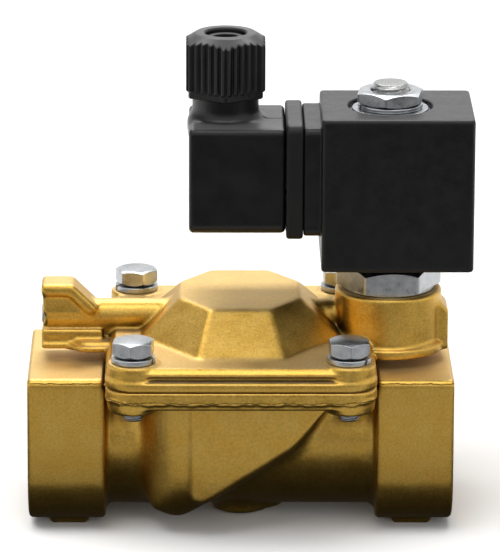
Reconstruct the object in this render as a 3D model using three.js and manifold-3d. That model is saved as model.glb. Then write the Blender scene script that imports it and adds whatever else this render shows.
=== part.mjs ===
// Servo-assisted two-way solenoid valve with G1 threaded ports, a four-bolt bonnet, a coil on an
// armature tube and a square cable plug. Millimetres, +Z up. The flow runs along X, from the inlet
// at -X to the outlet at +X, and Y is the depth. The valve stands on Z = 0, and the origin of the
// exported group lies under the middle of its box.

import * as THREE from 'three';
import { ConvexGeometry } from 'three/addons/geometries/ConvexGeometry.js';
import { mergeVertices } from 'three/addons/utils/BufferGeometryUtils.js';
import Module from 'manifold-3d';

const wasm = await Module();
wasm.setup();

// ---- General fits ----
const SEAT_GAP = 0.1; // between flat faces that rest on each other
const RUNNING_GAP = 0.3; // around parts that slide or turn in a moulded or bored hole
const OVERRUN = 1; // how far a cutter runs past the face that it opens
const ROUND_LARGE = 32; // sides of a large round
const ROUND_MEDIUM = 20; // sides of a medium round
const ROUND_SMALL = 12; // sides of a small round

// ---- Ports and body ----
const PORT_SPAN = 110.6; // inlet face to outlet face
const PORT_WIDTH = 48;
const PORT_HEIGHT = 41;
const PORT_LENGTH = 20;
const PORT_LOWER_CORNER = 13.5;
const PORT_UPPER_CORNER = 1.5;
const FOOT_HEIGHT = 1.6;
const FOOT_LENGTH = 10;
const FOOT_WIDTH = 26;
const FOOT_INSET = 5.4; // from the port face
const THREAD_RADIUS = 15.15; // core of a G1 internal thread
const THREAD_DEPTH = 17;
const THREAD_LEAD_IN = 1.4; // length and depth of the chamfer at the mouth
const PASSAGE_RADIUS = 12.5;
const PASSAGE_WALL = 7;
const BOWL_LEFT = -25;
const BOWL_RIGHT = 24;
const BOWL_HALF_WIDTH = 29.5;
const BOWL_KEEL = 16; // radius of the bowl's lower edges, seen along the flow
const BOWL_CORNER = 8; // radius of the bowl's upright edges
const BOWL_DEPTH = 19.6; // from the port axis down to the bowl's lowest point
const BOSS_RADIUS = 7; // round boss under the middle of the body
const BOSS_DEPTH = 21.6; // from the port axis down to its end

// ---- Flange, seat and bonnet ----
const FLANGE_LENGTH = 70;
const FLANGE_WIDTH = 82;
const FLANGE_THICKNESS = 4.9;
const FLANGE_CORNER = 7.4;
const FLANGE_RISE = 1.6; // flange face above the port blocks
const BOLT_INSET_X = 7.4; // bolt axis from the flange end
const BOLT_INSET_Y = 7.4; // bolt axis from the flange side
const BOLT_BOSS_RADIUS = 7;
const BOLT_BOSS_HEIGHT = 1.7;
const RIM_INSET = 4; // from the diaphragm's pocket to the flange end
const RIM_DEPTH = 2; // depth of the diaphragm's pocket
const CHAMBER_RADIUS = 22.5; // ring-shaped inlet chamber around the seat
const CHAMBER_DEPTH = 8.7; // below the flange face
const CHAMBER_INLET_DEPTH = 16.2; // the same on the inlet side
const CHAMBER_INLET_EDGE = -5; // where the deeper part ends
const SEAT_WALL = 4;
const SEAT_DROP = 4.7; // seat below the flange face
const BONNET_LOWER_LAYER = 2.6;
const BONNET_THICKNESS = 4.7;
const BONNET_STEP = 0.8; // how far the upper layer stands back
const TIER_INSET_X = 8; // tier inside the flange's ends
const TIER_INSET_Y = 6.5; // tier inside the flange's sides
const TIER_HEIGHT = 1;
const PAD_HEIGHT = 1.7; // bolt pads above the bonnet plate
const PAD_RADIUS = 6.8;
const DOME_RISE = 16; // dome top above the bonnet's underside
const DOME_FOOT_INSET_LONG = [23.7, 7]; // octagon at the dome's foot, in from the flange's end and side
const DOME_FOOT_INSET_WIDE = [7.5, 29.2];
const DOME_TOP_LONG = [7, 18.6]; // corners of the octagon at its top, one quarter
const DOME_TOP_WIDE = [15.7, 8.4];
const CAVITY_INSET = 5; // from the control chamber to the diaphragm's pocket
const CAVITY_TOP_RADIUS = 13;
const CAVITY_RISE = 11.7;

// ---- Passage arm on the bonnet ----
const ARM_END = -52;
const ARM_RADIUS = 4;
const ARM_RISE = 9.4; // axis of the drilled arm above the bonnet's underside
const ARM_WEB = 6.8; // thickness of the web under the arm
const ARM_BORE = 1.6; // radius of the drilled passage
const ARM_BLOCK_LENGTH = 8;
const ARM_BLOCK_RISE = 18.5; // top of the end block above the bonnet's underside
const ARM_RIM_DEPTH = 5.2;
const ARM_RIM_HALF = 4.9;
const TAB_END = -45;
const TAB_HALF = 10;
const TAB_CORNER = 6;
const PASSAGE_PLUG_RADIUS = 2.6;
const PASSAGE_PLUG_LENGTH = 6;

// ---- Pilot ----
const PILOT_OFFSET = 3.7; // pilot axis beyond the flange end
const PILOT_RADIUS = 13.9;
const PILOT_RISE = 17; // top of the pilot boss above the bonnet's underside
const PILOT_PLATE_RADIUS = 15.2;
const PILOT_PAD_REACH = 15.6; // flat pad beyond the pilot axis
const PILOT_PAD_HALF = 5.5;
const PILOT_BORE_WALL = 2.65; // from the armature tube to the pilot bore
const PILOT_BORE_DEPTH = 5.7;
const ORING_POCKET_RADIUS = 11.4;
const ORING_POCKET_DEPTH = 2;
const PLUNGER_ROOM_GAP = 0.1; // room under the armature tube, wider than the tube
const PLUNGER_ROOM_DEPTH = 11.8;
const NOZZLE_RADIUS = 2.2;
const NOZZLE_HEIGHT = 2.8;
const NOZZLE_BORE = 0.9;
const DRAIN_RADIUS = 1.2;
const DRAIN_INSET = 1.8; // drain axis inside the flange end
const DRAIN_RISE = 3.7; // cross drilling above the bonnet's underside

// ---- Fasteners ----
const BOLT_SHANK = 2.9;
const BOLT_FLATS = 10;
const BOLT_HEAD = 4;
const BOLT_LENGTH = 16;
const BOLT_HOLE_GAP = 0.2; // tapped hole around the shank
const BOLT_CLEAR_GAP = 0.4; // plain hole around the shank
const LOCK_WASHER_RADIUS = 5.9;
const LOCK_WASHER_THICKNESS = 1.6;
const LOCK_WASHER_SPLIT = 0.8;
const BOLT_TURNS = [-7, 4, 4, 18]; // degrees, as the heads happened to stop
const WASHER_SPLITS = [-28, -41, 100, 200]; // degrees, where each washer is split

// ---- Diaphragm assembly ----
const DIAPHRAGM_THICKNESS = 1.8;
const DIAPHRAGM_FLAT_MARGIN = 0.5; // flat middle beyond the seat
const STEM_RADIUS = 2.4;
const STEM_GAP = 0.2;
const STEM_FLATS = 8;
const STEM_HEAD = 2.3;
const STEM_NUT = 3.2;
const STEM_TAIL = 0.7; // bolt end above its nut
const UPPER_PLATE_RADIUS = 15.5;
const UPPER_PLATE_THICKNESS = 1.5;
const LOWER_PLATE_GAP = 0.6; // around the lower plate in the seat
const LOWER_PLATE_THICKNESS = 2.2;
const MAIN_SPRING_RADIUS = 8.2;
const MAIN_SPRING_WIRE = 0.65;
const MAIN_SPRING_TURNS = 4.5;

// ---- Armature tube ----
const TUBE_RADIUS = 6.5;
const TUBE_WALL = 0.5;
const TUBE_GAP = 0.15;
const TUBE_BASE_FLATS = 24;
const TUBE_BASE_HEX = 5.8;
const TUBE_BASE_COLLAR = 0.8; // round face under the hexagon
const TUBE_BASE_TURN = 32.5; // degrees
const TUBE_ORING_GAP = 0.15; // from the pilot bore to the seal
const TUBE_TOP_DROP = 3.2; // tube end below the coil's steel plate
const CORE_LENGTH = 14.1;
const CORE_GAP = 0.15; // core and plunger in the tube, on the radius
const STUD_RADIUS = 4.9; // M10
const STUD_LENGTH = 10.5;
const STUD_CHAMFER = 0.7;
const SHADING_INNER = 4.1;
const SHADING_OUTER = 4.9;
const SHADING_DEPTH = 1.4;
const PLUNGER_STROKE = 2;
const PLUNGER_AIR = 0.2; // left between plunger and core when it is pulled in
const PLUNGER_POCKET = 3.3;
const PLUNGER_POCKET_DEPTH = 13;
const PLUNGER_SEAL_RADIUS = 2.8;
const PLUNGER_SEAL_LENGTH = 2.3;
const PLUNGER_SEAL_PROUD = 0.5;
const PLUNGER_SPRING_RADIUS = 2.6;
const PLUNGER_SPRING_WIRE = 0.3;
const PLUNGER_SPRING_TURNS = 5;

// ---- Coil ----
const COIL_LEFT = 18; // from the tube axis to the plug side
const COIL_RIGHT = 21.4;
const COIL_DEPTH = 33.5;
const COIL_HEIGHT = 40.6;
const COIL_EDGE = 1;
const COIL_BORE_GAP = 0.5; // around the armature tube
const COIL_RECESS_RADIUS = 11;
const COIL_RECESS_DEPTH = 1.5;
const COIL_FLOOR = 1.5; // plastic under the steel frame
const COIL_SEAL_THICKNESS = 1.2;
const YOKE_LENGTH = 30;
const YOKE_DEPTH = 24;
const YOKE_THICKNESS = 2.5;
const BOBBIN_WALL = 1.2;
const BOBBIN_FLANGE = 12.2;
const WINDING_RADIUS = 11.8;
const NECK_LENGTH = 4.6;
const NECK_PROUD = 0.5; // neck beyond the plug on each side
const CONNECTOR_RISE = 23.4; // plug axis above the coil's underside
const NUT_FLATS = 16;
const NUT_HEIGHT = 3.5;
const NUT_TURN = -10; // degrees
const COIL_WASHER_RADIUS = 9.9;
const COIL_WASHER_THICKNESS = 0.9;
const COIL_LOCK_RADIUS = 8.4;
const COIL_LOCK_THICKNESS = 1.8;

// ---- Plug ----
const PLUG_SIZE = 28;
const PLUG_LENGTH = 25;
const PLUG_WALL = 2;
const PLUG_EDGE = 2;
const GASKET_PROUD = 1.2; // gasket beyond the plug on each side
const GASKET_THICKNESS = 4.4;
const BLOCK_LENGTH = 15.6;
const BLADE_WIDTH = 6.3;
const BLADE_THICKNESS = 0.8;
const BLADE_REACH = 10.4; // out of the coil's neck
const BLADE_ROOT = 5.8; // held in the neck
const BLADE_SIDE = 9; // line and neutral blades from the plug axis
const BLADE_EARTH = 8; // earth blade below the plug axis
const CONTACT_LENGTH = 10.8;
const CONTACT_WIDTH = 8.2;
const CONTACT_THICKNESS = 2.6;
const CLAMP_SCREW_RADIUS = 1.2;
const CLAMP_HEAD_RADIUS = 2;
const CLAMP_HEAD_LENGTH = 1.5;
const PLUG_SCREW_RADIUS = 1.5;
const PLUG_SCREW_HEAD_RADIUS = 2.9;
const PLUG_SCREW_HEAD_LENGTH = 2;
const PLUG_SCREW_BITE = 4.8; // length screwed into the coil's neck
const PLUG_SCREW_BOSS = 5.4;
const SCREW_SEAL_THICKNESS = 0.7;

// ---- Cable gland ----
const GLAND_INSET = 9.5; // gland axis from the plug's outer end
const GLAND_NECK_RADIUS = 8.6;
const GLAND_NECK_HEIGHT = 17.5; // above the plug housing
const GLAND_BORE = 6.6;
const GLAND_LEDGE = 1; // how far the ledge under the grommet stands in
const GLAND_LEDGE_RISE = 4.7; // above the plug housing
const GROMMET_GAP = 0.2;
const GROMMET_PROUD = 1.2;
const CABLE_RADIUS = 3.1;
const GLAND_RING_THICKNESS = 1.2;
const GLAND_NUT_FLATS = 20.5;
const GLAND_NUT_RISE = 6.8; // underside of the nut above the plug housing
const GLAND_NUT_HEIGHT = 15.7;
const GLAND_NUT_TOP_RADIUS = 7.75;
const GLAND_NUT_TOP_WALL = 2.2;
const GLAND_NUT_HOLE = 5.3;
const GLAND_NUT_SLOPE = 32; // degrees, of the cone at its top
const GLAND_RIBS = 6; // on each face
const GLAND_RIB_DEPTH = 0.6;

// ---- Places worked out from the sizes above ----
const PORT_TOP = FOOT_HEIGHT + PORT_HEIGHT;
const PORT_AXIS = FOOT_HEIGHT + PORT_HEIGHT / 2;
const FLANGE_TOP = PORT_TOP + FLANGE_RISE;
const FLANGE_BOTTOM = FLANGE_TOP - FLANGE_THICKNESS;
const RIM_RADIUS = FLANGE_LENGTH / 2 - RIM_INSET;
const SEAT_TOP = FLANGE_TOP - SEAT_DROP;
const SEAT_RADIUS = PASSAGE_RADIUS + SEAT_WALL;
const DIAPHRAGM_FLAT = SEAT_RADIUS + DIAPHRAGM_FLAT_MARGIN;
const CAVITY_RADIUS = RIM_RADIUS - CAVITY_INSET;
const TIER_LENGTH = FLANGE_LENGTH - 2 * TIER_INSET_X;
const TIER_WIDTH = FLANGE_WIDTH - 2 * TIER_INSET_Y;
const DOME_FOOT_LONG = [FLANGE_LENGTH / 2 - DOME_FOOT_INSET_LONG[0], FLANGE_WIDTH / 2 - DOME_FOOT_INSET_LONG[1]];
const DOME_FOOT_WIDE = [FLANGE_LENGTH / 2 - DOME_FOOT_INSET_WIDE[0], FLANGE_WIDTH / 2 - DOME_FOOT_INSET_WIDE[1]];
const BONNET_BOTTOM = FLANGE_TOP + SEAT_GAP;
const BONNET_TOP = BONNET_BOTTOM + BONNET_THICKNESS;
const PAD_TOP = BONNET_TOP + PAD_HEIGHT;
const BOLT_X = FLANGE_LENGTH / 2 - BOLT_INSET_X;
const BOLT_Y = FLANGE_WIDTH / 2 - BOLT_INSET_Y;
const BOLT_PLACES = [[-BOLT_X, -BOLT_Y], [BOLT_X, -BOLT_Y], [BOLT_X, BOLT_Y], [-BOLT_X, BOLT_Y]];
const CAVITY_TOP = BONNET_BOTTOM + CAVITY_RISE;
const ARM_AXIS = BONNET_BOTTOM + ARM_RISE;
const PILOT_X = FLANGE_LENGTH / 2 + PILOT_OFFSET;
const PILOT_TOP = BONNET_BOTTOM + PILOT_RISE;
const PLUNGER_ROOM_FLOOR = PILOT_TOP - PLUNGER_ROOM_DEPTH;
const NOZZLE_TOP = PLUNGER_ROOM_FLOOR + NOZZLE_HEIGHT;
const DRAIN_X = FLANGE_LENGTH / 2 - DRAIN_INSET;
const DIAPHRAGM_BOTTOM = SEAT_TOP + SEAT_GAP;
const DIAPHRAGM_TOP = DIAPHRAGM_BOTTOM + DIAPHRAGM_THICKNESS;
const UPPER_PLATE_TOP = DIAPHRAGM_TOP + SEAT_GAP + UPPER_PLATE_THICKNESS;
const TUBE_BASE_BOTTOM = PILOT_TOP + SEAT_GAP;
const TUBE_BASE_TOP = TUBE_BASE_BOTTOM + TUBE_BASE_COLLAR + TUBE_BASE_HEX;
const COIL_BOTTOM = TUBE_BASE_TOP + SEAT_GAP + COIL_SEAL_THICKNESS + SEAT_GAP;
const YOKE_TOP = COIL_HEIGHT - COIL_RECESS_DEPTH;
const TUBE_BORE = TUBE_RADIUS - TUBE_WALL;
const PLUNGER_RADIUS = TUBE_BORE - 2 * CORE_GAP;
const CORE_RADIUS = TUBE_BORE - CORE_GAP;
const CORE_TOP = COIL_BOTTOM + YOKE_TOP - YOKE_THICKNESS - SEAT_GAP * 4;
const CORE_BOTTOM = CORE_TOP - CORE_LENGTH;
const SEAL_BOTTOM = NOZZLE_TOP + SEAT_GAP;
const PLUNGER_BOTTOM = SEAL_BOTTOM + PLUNGER_SEAL_PROUD;
const PLUNGER_TOP = CORE_BOTTOM - PLUNGER_AIR - PLUNGER_STROKE;
const COIL_BORE = TUBE_RADIUS + COIL_BORE_GAP;
const PILOT_BORE = TUBE_RADIUS + PILOT_BORE_WALL;
const PLUNGER_ROOM = TUBE_RADIUS + PLUNGER_ROOM_GAP;
const TUBE_ORING_INNER = PILOT_BORE + TUBE_ORING_GAP;
const NECK_SIZE = PLUG_SIZE + 2 * NECK_PROUD;
const GASKET_SIZE = PLUG_SIZE + 2 * GASKET_PROUD;
const NECK_FACE = -COIL_LEFT - NECK_LENGTH;
const PLUG_FACE = NECK_FACE - SEAT_GAP - GASKET_THICKNESS - SEAT_GAP;
const NECK_IN_PLUG = NECK_FACE - PLUG_FACE;
const PLUG_BORE = PLUG_SIZE - 2 * PLUG_WALL;
const GASKET_WINDOW = PLUG_BORE - 2 * SEAT_GAP;
const BLOCK_SIZE = PLUG_BORE - 2 * RUNNING_GAP;
const BLOCK_FACE = -0.4; // the terminal block stands back from the plug's open end
const BLOCK_BACK = BLOCK_FACE - BLOCK_LENGTH;
const CONTACT_FACE = BLOCK_FACE - 0.8;
const CONTACT_BACK = CONTACT_FACE - CONTACT_LENGTH;
const CONTACT_SLOT = CONTACT_LENGTH - 3;
const SCREW_SEAT = -PLUG_LENGTH + PLUG_SCREW_HEAD_LENGTH + SCREW_SEAL_THICKNESS + 3 * SEAT_GAP;
const GLAND_X = -PLUG_LENGTH + GLAND_INSET;
const GLAND_FOOT = PLUG_SIZE / 2;
const GROMMET_BOTTOM = GLAND_FOOT + GLAND_LEDGE_RISE + SEAT_GAP;
const GROMMET_TOP = GLAND_FOOT + GLAND_NECK_HEIGHT + GROMMET_PROUD;
const GLAND_RING_BOTTOM = GROMMET_TOP + SEAT_GAP;
const GLAND_NUT_BOTTOM = GLAND_FOOT + GLAND_NUT_RISE;
const GLAND_NUT_TOP = GLAND_NUT_BOTTOM + GLAND_NUT_HEIGHT;
const BOX_MIDDLE = (PILOT_X + COIL_RIGHT - PORT_SPAN / 2) / 2;

const FINISHES = {
  brass: { color: 0xb8923f, roughness: 0.42, metalness: 1 },
  steel: { color: 0xc4c6c8, roughness: 0.3, metalness: 1 },
  stainless: { color: 0xd2d2ce, roughness: 0.25, metalness: 1 },
  copper: { color: 0xb4693c, roughness: 0.35, metalness: 1 },
  coilPlastic: { color: 0x1c1c1d, roughness: 0.55, metalness: 0 },
  plugPlastic: { color: 0x161617, roughness: 0.45, metalness: 0 },
  palePlastic: { color: 0xb9b6ab, roughness: 0.6, metalness: 0 },
  rubber: { color: 0x101010, roughness: 0.8, metalness: 0 },
};

// ---- Solids ----

/** Six times the volume inside a triangle list, negative when its faces point inwards. */
function signedVolume(points, triangles) {
  const [a, b, c] = [new THREE.Vector3(), new THREE.Vector3(), new THREE.Vector3()];
  let volume = 0;
  for (let i = 0; i < triangles.length; i += 3) {
    a.fromArray(points, 3 * triangles[i]);
    b.fromArray(points, 3 * triangles[i + 1]);
    c.fromArray(points, 3 * triangles[i + 2]);
    volume += a.dot(b.cross(c));
  }
  return volume;
}

/** A closed geometry as a manifold solid whose faces point out. */
function solidOf(geometry) {
  geometry.deleteAttribute('normal');
  geometry.deleteAttribute('uv');
  const merged = mergeVertices(geometry, 1e-4);
  const points = merged.attributes.position.array;
  const corners = merged.index.array;
  const triangles = [];
  for (let i = 0; i < corners.length; i += 3) {
    const [a, b, c] = corners.slice(i, i + 3);
    if (a !== b && b !== c && c !== a) triangles.push(a, b, c);
  }
  if (signedVolume(points, triangles) < 0) triangles.reverse();
  return new wasm.Manifold(new wasm.Mesh({
    numProp: 3,
    vertProperties: new Float32Array(points),
    triVerts: new Uint32Array(triangles),
  }));
}

/** All the solids joined into one. */
function join(...solids) {
  return solids.reduce((whole, solid) => whole.add(solid));
}

/** The first solid less all the others. */
function cut(base, ...tools) {
  return tools.reduce((rest, tool) => rest.subtract(tool), base);
}

/** A box from its ranges along X, Y and Z. */
function block([x0, x1], [y0, y1], [z0, z1]) {
  const geometry = new THREE.BoxGeometry(x1 - x0, y1 - y0, z1 - z0);
  geometry.translate((x0 + x1) / 2, (y0 + y1) / 2, (z0 + z1) / 2);
  return solidOf(geometry);
}

/** An upright round bar between two heights. */
function rodZ(radius, z0, z1, sides, x = 0, y = 0) {
  const geometry = new THREE.CylinderGeometry(radius, radius, z1 - z0, sides);
  geometry.rotateX(Math.PI / 2);
  geometry.translate(x, y, (z0 + z1) / 2);
  return solidOf(geometry);
}

/** A round bar along X. */
function rodX(radius, x0, x1, sides, y = 0, z = 0) {
  const geometry = new THREE.CylinderGeometry(radius, radius, x1 - x0, sides);
  geometry.rotateZ(-Math.PI / 2);
  geometry.translate((x0 + x1) / 2, y, z);
  return solidOf(geometry);
}

/** A turned piece about Z from its [radius, height] profile, which is closed if it is a ring's. */
function turned(profile, sides) {
  const points = profile.map(([radius, z]) => new THREE.Vector2(radius, z));
  if (profile[0][0] > 0) points.push(points[0].clone());
  const geometry = new THREE.LatheGeometry(points, sides);
  geometry.rotateX(Math.PI / 2);
  return solidOf(geometry);
}

/** A flat ring about Z. */
function ring(inner, outer, z0, z1, sides) {
  return turned([[inner, z0], [outer, z0], [outer, z1], [inner, z1]], sides);
}

/** A hexagonal prism across its flats, with the corners turned off at the top, the foot or both. */
function hexagon(flats, z0, z1, turn, { top = 0, foot = 0 } = {}) {
  const corner = flats / Math.sqrt(3);
  const geometry = new THREE.CylinderGeometry(corner, corner, z1 - z0, 6);
  geometry.rotateX(Math.PI / 2);
  geometry.rotateZ(THREE.MathUtils.degToRad(turn));
  geometry.translate(0, 0, (z0 + z1) / 2);
  const footRadius = foot > 0 ? flats / 2 : corner + OVERRUN;
  const topRadius = top > 0 ? flats / 2 : corner + OVERRUN;
  const wide = corner + OVERRUN;
  const slopeFoot = foot > 0 ? foot * (wide - footRadius) / (corner - footRadius) : 0;
  const slopeTop = top > 0 ? top * (wide - topRadius) / (corner - topRadius) : 0;
  const turnedOff = turned([
    [0, z0], [footRadius, z0], [wide, z0 + slopeFoot], [wide, z1 - slopeTop], [topRadius, z1], [0, z1],
  ], ROUND_MEDIUM);
  return solidOf(geometry).intersect(turnedOff);
}

/** A four-sided outline with one radius at its lower corners and another at its upper ones. */
function roundedOutline(halfWidth, bottom, top, lower, upper = lower) {
  const shape = new THREE.Shape();
  shape.moveTo(-halfWidth + lower, bottom);
  shape.absarc(halfWidth - lower, bottom + lower, lower, -Math.PI / 2, 0);
  shape.absarc(halfWidth - upper, top - upper, upper, 0, Math.PI / 2);
  shape.absarc(-halfWidth + upper, top - upper, upper, Math.PI / 2, Math.PI);
  shape.absarc(-halfWidth + lower, bottom + lower, lower, Math.PI, 1.5 * Math.PI);
  return shape;
}

/** A straight-sided outline through points. */
function polygon(points) {
  return new THREE.Shape(points.map(([x, y]) => new THREE.Vector2(x, y)));
}

/** An outline pushed along Z. */
function extrudeZ(shape, z0, z1, curveSegments = 5) {
  const geometry = new THREE.ExtrudeGeometry(shape, { depth: z1 - z0, bevelEnabled: false, curveSegments });
  geometry.translate(0, 0, z0);
  return solidOf(geometry);
}

/** An outline in Y and Z pushed along X. */
function extrudeX(shape, x0, x1, curveSegments = 5) {
  const geometry = new THREE.ExtrudeGeometry(shape, { depth: x1 - x0, bevelEnabled: false, curveSegments });
  geometry.applyMatrix4(new THREE.Matrix4().makeBasis(
    new THREE.Vector3(0, 1, 0), new THREE.Vector3(0, 0, 1), new THREE.Vector3(1, 0, 0),
  ));
  geometry.translate(x0, 0, 0);
  return solidOf(geometry);
}

/** An outline in X and Z pushed along Y. */
function extrudeY(shape, y0, y1, curveSegments = 5) {
  const geometry = new THREE.ExtrudeGeometry(shape, { depth: y1 - y0, bevelEnabled: false, curveSegments });
  geometry.applyMatrix4(new THREE.Matrix4().makeBasis(
    new THREE.Vector3(1, 0, 0), new THREE.Vector3(0, 0, 1), new THREE.Vector3(0, -1, 0),
  ));
  geometry.translate(0, y1, 0);
  return solidOf(geometry);
}

/** A helix about Z whose wire lies flat at both ends. */
class CoilSpringCurve extends THREE.Curve {
  constructor(radius, z0, z1, turns) {
    super();
    Object.assign(this, { radius, z0, z1, turns });
  }

  getPoint(t, target = new THREE.Vector3()) {
    const angle = 2 * Math.PI * this.turns * t;
    const rise = THREE.MathUtils.smoothstep(t, 0, 1);
    return target.set(
      this.radius * Math.cos(angle), this.radius * Math.sin(angle), this.z0 + (this.z1 - this.z0) * rise,
    );
  }
}

/** A round-wire compression spring between two heights, wire included. */
function spring(radius, wire, z0, z1, turns) {
  const section = new THREE.Shape();
  section.absarc(0, 0, wire, 0, 2 * Math.PI);
  const extrudePath = new CoilSpringCurve(radius, z0 + wire, z1 - wire, turns);
  const steps = Math.round(turns * ROUND_SMALL);
  return solidOf(new THREE.ExtrudeGeometry(section, { extrudePath, steps, curveSegments: 3 }));
}

// ---- Scene nodes ----

/** A named mesh of one solid, with its own material. */
function node(name, solid, finish, x = 0, y = 0, z = 0) {
  const { vertProperties, triVerts } = solid.getMesh();
  const geometry = new THREE.BufferGeometry();
  geometry.setAttribute('position', new THREE.BufferAttribute(vertProperties, 3));
  geometry.setIndex(new THREE.BufferAttribute(triVerts, 1));
  geometry.computeVertexNormals();
  const mesh = new THREE.Mesh(geometry, new THREE.MeshStandardMaterial(FINISHES[finish]));
  mesh.name = name;
  mesh.position.set(x, y, z);
  return mesh;
}

/** A group of nodes at a place. */
function groupAt(x, y, z, ...children) {
  const group = new THREE.Group();
  group.position.set(x, y, z);
  group.add(...children);
  return group;
}

// ---- Valve body ----

/** Port block, foot and flow tube on one side, +1 for the outlet and -1 for the inlet. */
function portBlock(side) {
  const face = side * PORT_SPAN / 2;
  const back = side * (PORT_SPAN / 2 - PORT_LENGTH);
  const outline = roundedOutline(
    PORT_WIDTH / 2, FOOT_HEIGHT, PORT_TOP, PORT_LOWER_CORNER, PORT_UPPER_CORNER,
  );
  const footOuter = side * (PORT_SPAN / 2 - FOOT_INSET);
  const footInner = footOuter - side * FOOT_LENGTH;
  const footRoot = FOOT_HEIGHT + OVERRUN;
  const foot = block(
    [Math.min(footOuter, footInner), Math.max(footOuter, footInner)],
    [-FOOT_WIDTH / 2, FOOT_WIDTH / 2], [0, footRoot],
  );
  return join(extrudeX(outline, Math.min(face, back), Math.max(face, back)), foot);
}

/** The cast bowl under the flange: a slanting wedge with a rounded keel and rounded corners. */
function bowl() {
  const top = FLANGE_BOTTOM + SEAT_GAP;
  const keel = PORT_AXIS - BOWL_DEPTH;
  const slant = polygon([
    [BOWL_LEFT, top], [BOWL_LEFT, PORT_AXIS - 13.1], [-16.3, keel], [-9.5, PORT_AXIS - 13.1],
    [13.9, PORT_AXIS + 2.2], [BOWL_RIGHT, PORT_AXIS + 13.9], [BOWL_RIGHT, top],
  ]);
  const across = roundedOutline(BOWL_HALF_WIDTH, keel, top, BOWL_KEEL, PORT_UPPER_CORNER);
  const plan = roundedOutline(
    (BOWL_RIGHT - BOWL_LEFT) / 2, -BOWL_HALF_WIDTH, BOWL_HALF_WIDTH, BOWL_CORNER,
  );
  const middle = (BOWL_LEFT + BOWL_RIGHT) / 2;
  return extrudeY(slant, -BOWL_HALF_WIDTH, BOWL_HALF_WIDTH)
    .intersect(extrudeX(across, BOWL_LEFT, BOWL_RIGHT))
    .intersect(extrudeZ(plan, keel, top).translate([middle, 0, 0]));
}

/** Thread bore with its lead-in chamfer, cut from one port face. */
function threadBore(side) {
  const depth = THREAD_DEPTH;
  const flare = THREAD_RADIUS + THREAD_LEAD_IN;
  const geometry = new THREE.LatheGeometry([
    [0, depth], [THREAD_RADIUS, depth], [THREAD_RADIUS, THREAD_LEAD_IN], [flare, 0],
    [flare, -OVERRUN], [0, -OVERRUN],
  ].map(([radius, inward]) => new THREE.Vector2(radius, inward)), ROUND_LARGE);
  geometry.rotateZ(side * Math.PI / 2);
  geometry.translate(side * PORT_SPAN / 2, 0, PORT_AXIS);
  return solidOf(geometry);
}

/** Inlet chamber, seat, outlet elbow and both thread bores. */
function waterways() {
  const bore = PORT_SPAN / 2 - THREAD_DEPTH - OVERRUN;
  const sphere = new THREE.SphereGeometry(PASSAGE_RADIUS, ROUND_MEDIUM, ROUND_MEDIUM / 2);
  sphere.translate(0, 0, PORT_AXIS);
  const inletEnd = -SEAT_RADIUS - SEAT_GAP * 5;
  const pocketFloor = FLANGE_TOP - RIM_DEPTH;
  const shallow = ring(SEAT_RADIUS, CHAMBER_RADIUS, FLANGE_TOP - CHAMBER_DEPTH, pocketFloor + SEAT_GAP, ROUND_LARGE);
  const deep = ring(
    SEAT_RADIUS, CHAMBER_RADIUS, FLANGE_TOP - CHAMBER_INLET_DEPTH, pocketFloor, ROUND_LARGE,
  ).intersect(block(
    [-CHAMBER_RADIUS - OVERRUN, CHAMBER_INLET_EDGE],
    [-CHAMBER_RADIUS - OVERRUN, CHAMBER_RADIUS + OVERRUN],
    [0, FLANGE_TOP],
  ));
  return join(
    threadBore(-1),
    threadBore(1),
    rodX(PASSAGE_RADIUS, -bore - 2 * OVERRUN, inletEnd, ROUND_MEDIUM, 0, PORT_AXIS),
    rodX(PASSAGE_RADIUS, 0, bore + 2 * OVERRUN, ROUND_MEDIUM, 0, PORT_AXIS),
    solidOf(sphere),
    rodZ(PASSAGE_RADIUS, PORT_AXIS, FLANGE_TOP, ROUND_MEDIUM),
    rodZ(SEAT_RADIUS + OVERRUN, SEAT_TOP, FLANGE_TOP, ROUND_LARGE),
    rodZ(RIM_RADIUS, pocketFloor, FLANGE_TOP + OVERRUN, ROUND_LARGE),
    shallow,
    deep,
  );
}

/** The brass body: two threaded ports, bowl, flange, seat and waterways. */
function valveBody() {
  const tubeEnd = PORT_SPAN / 2 - PORT_LENGTH + OVERRUN;
  const plate = roundedOutline(FLANGE_LENGTH / 2, -FLANGE_WIDTH / 2, FLANGE_WIDTH / 2, FLANGE_CORNER);
  const bosses = BOLT_PLACES.map(([x, y]) => rodZ(
    BOLT_BOSS_RADIUS, FLANGE_BOTTOM - BOLT_BOSS_HEIGHT, FLANGE_BOTTOM + OVERRUN, ROUND_MEDIUM, x, y,
  ));
  const holes = BOLT_PLACES.map(([x, y]) => rodZ(
    BOLT_SHANK + BOLT_HOLE_GAP, FLANGE_BOTTOM - BOLT_BOSS_HEIGHT - OVERRUN, FLANGE_TOP + OVERRUN,
    ROUND_SMALL, x, y,
  ));
  const solid = join(
    portBlock(-1),
    portBlock(1),
    rodX(PASSAGE_RADIUS + PASSAGE_WALL, -tubeEnd, tubeEnd, ROUND_LARGE, 0, PORT_AXIS),
    bowl(),
    rodZ(BOSS_RADIUS, PORT_AXIS - BOSS_DEPTH, PORT_AXIS - PASSAGE_RADIUS - OVERRUN, ROUND_MEDIUM),
    extrudeZ(plate, FLANGE_BOTTOM, FLANGE_TOP),
    ...bosses,
  );
  const drain = rodZ(DRAIN_RADIUS, PORT_AXIS + PASSAGE_RADIUS - 2 * OVERRUN, FLANGE_TOP + OVERRUN, ROUND_SMALL, DRAIN_X);
  return cut(solid, waterways(), drain, ...holes);
}

// ---- Bonnet ----

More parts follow.
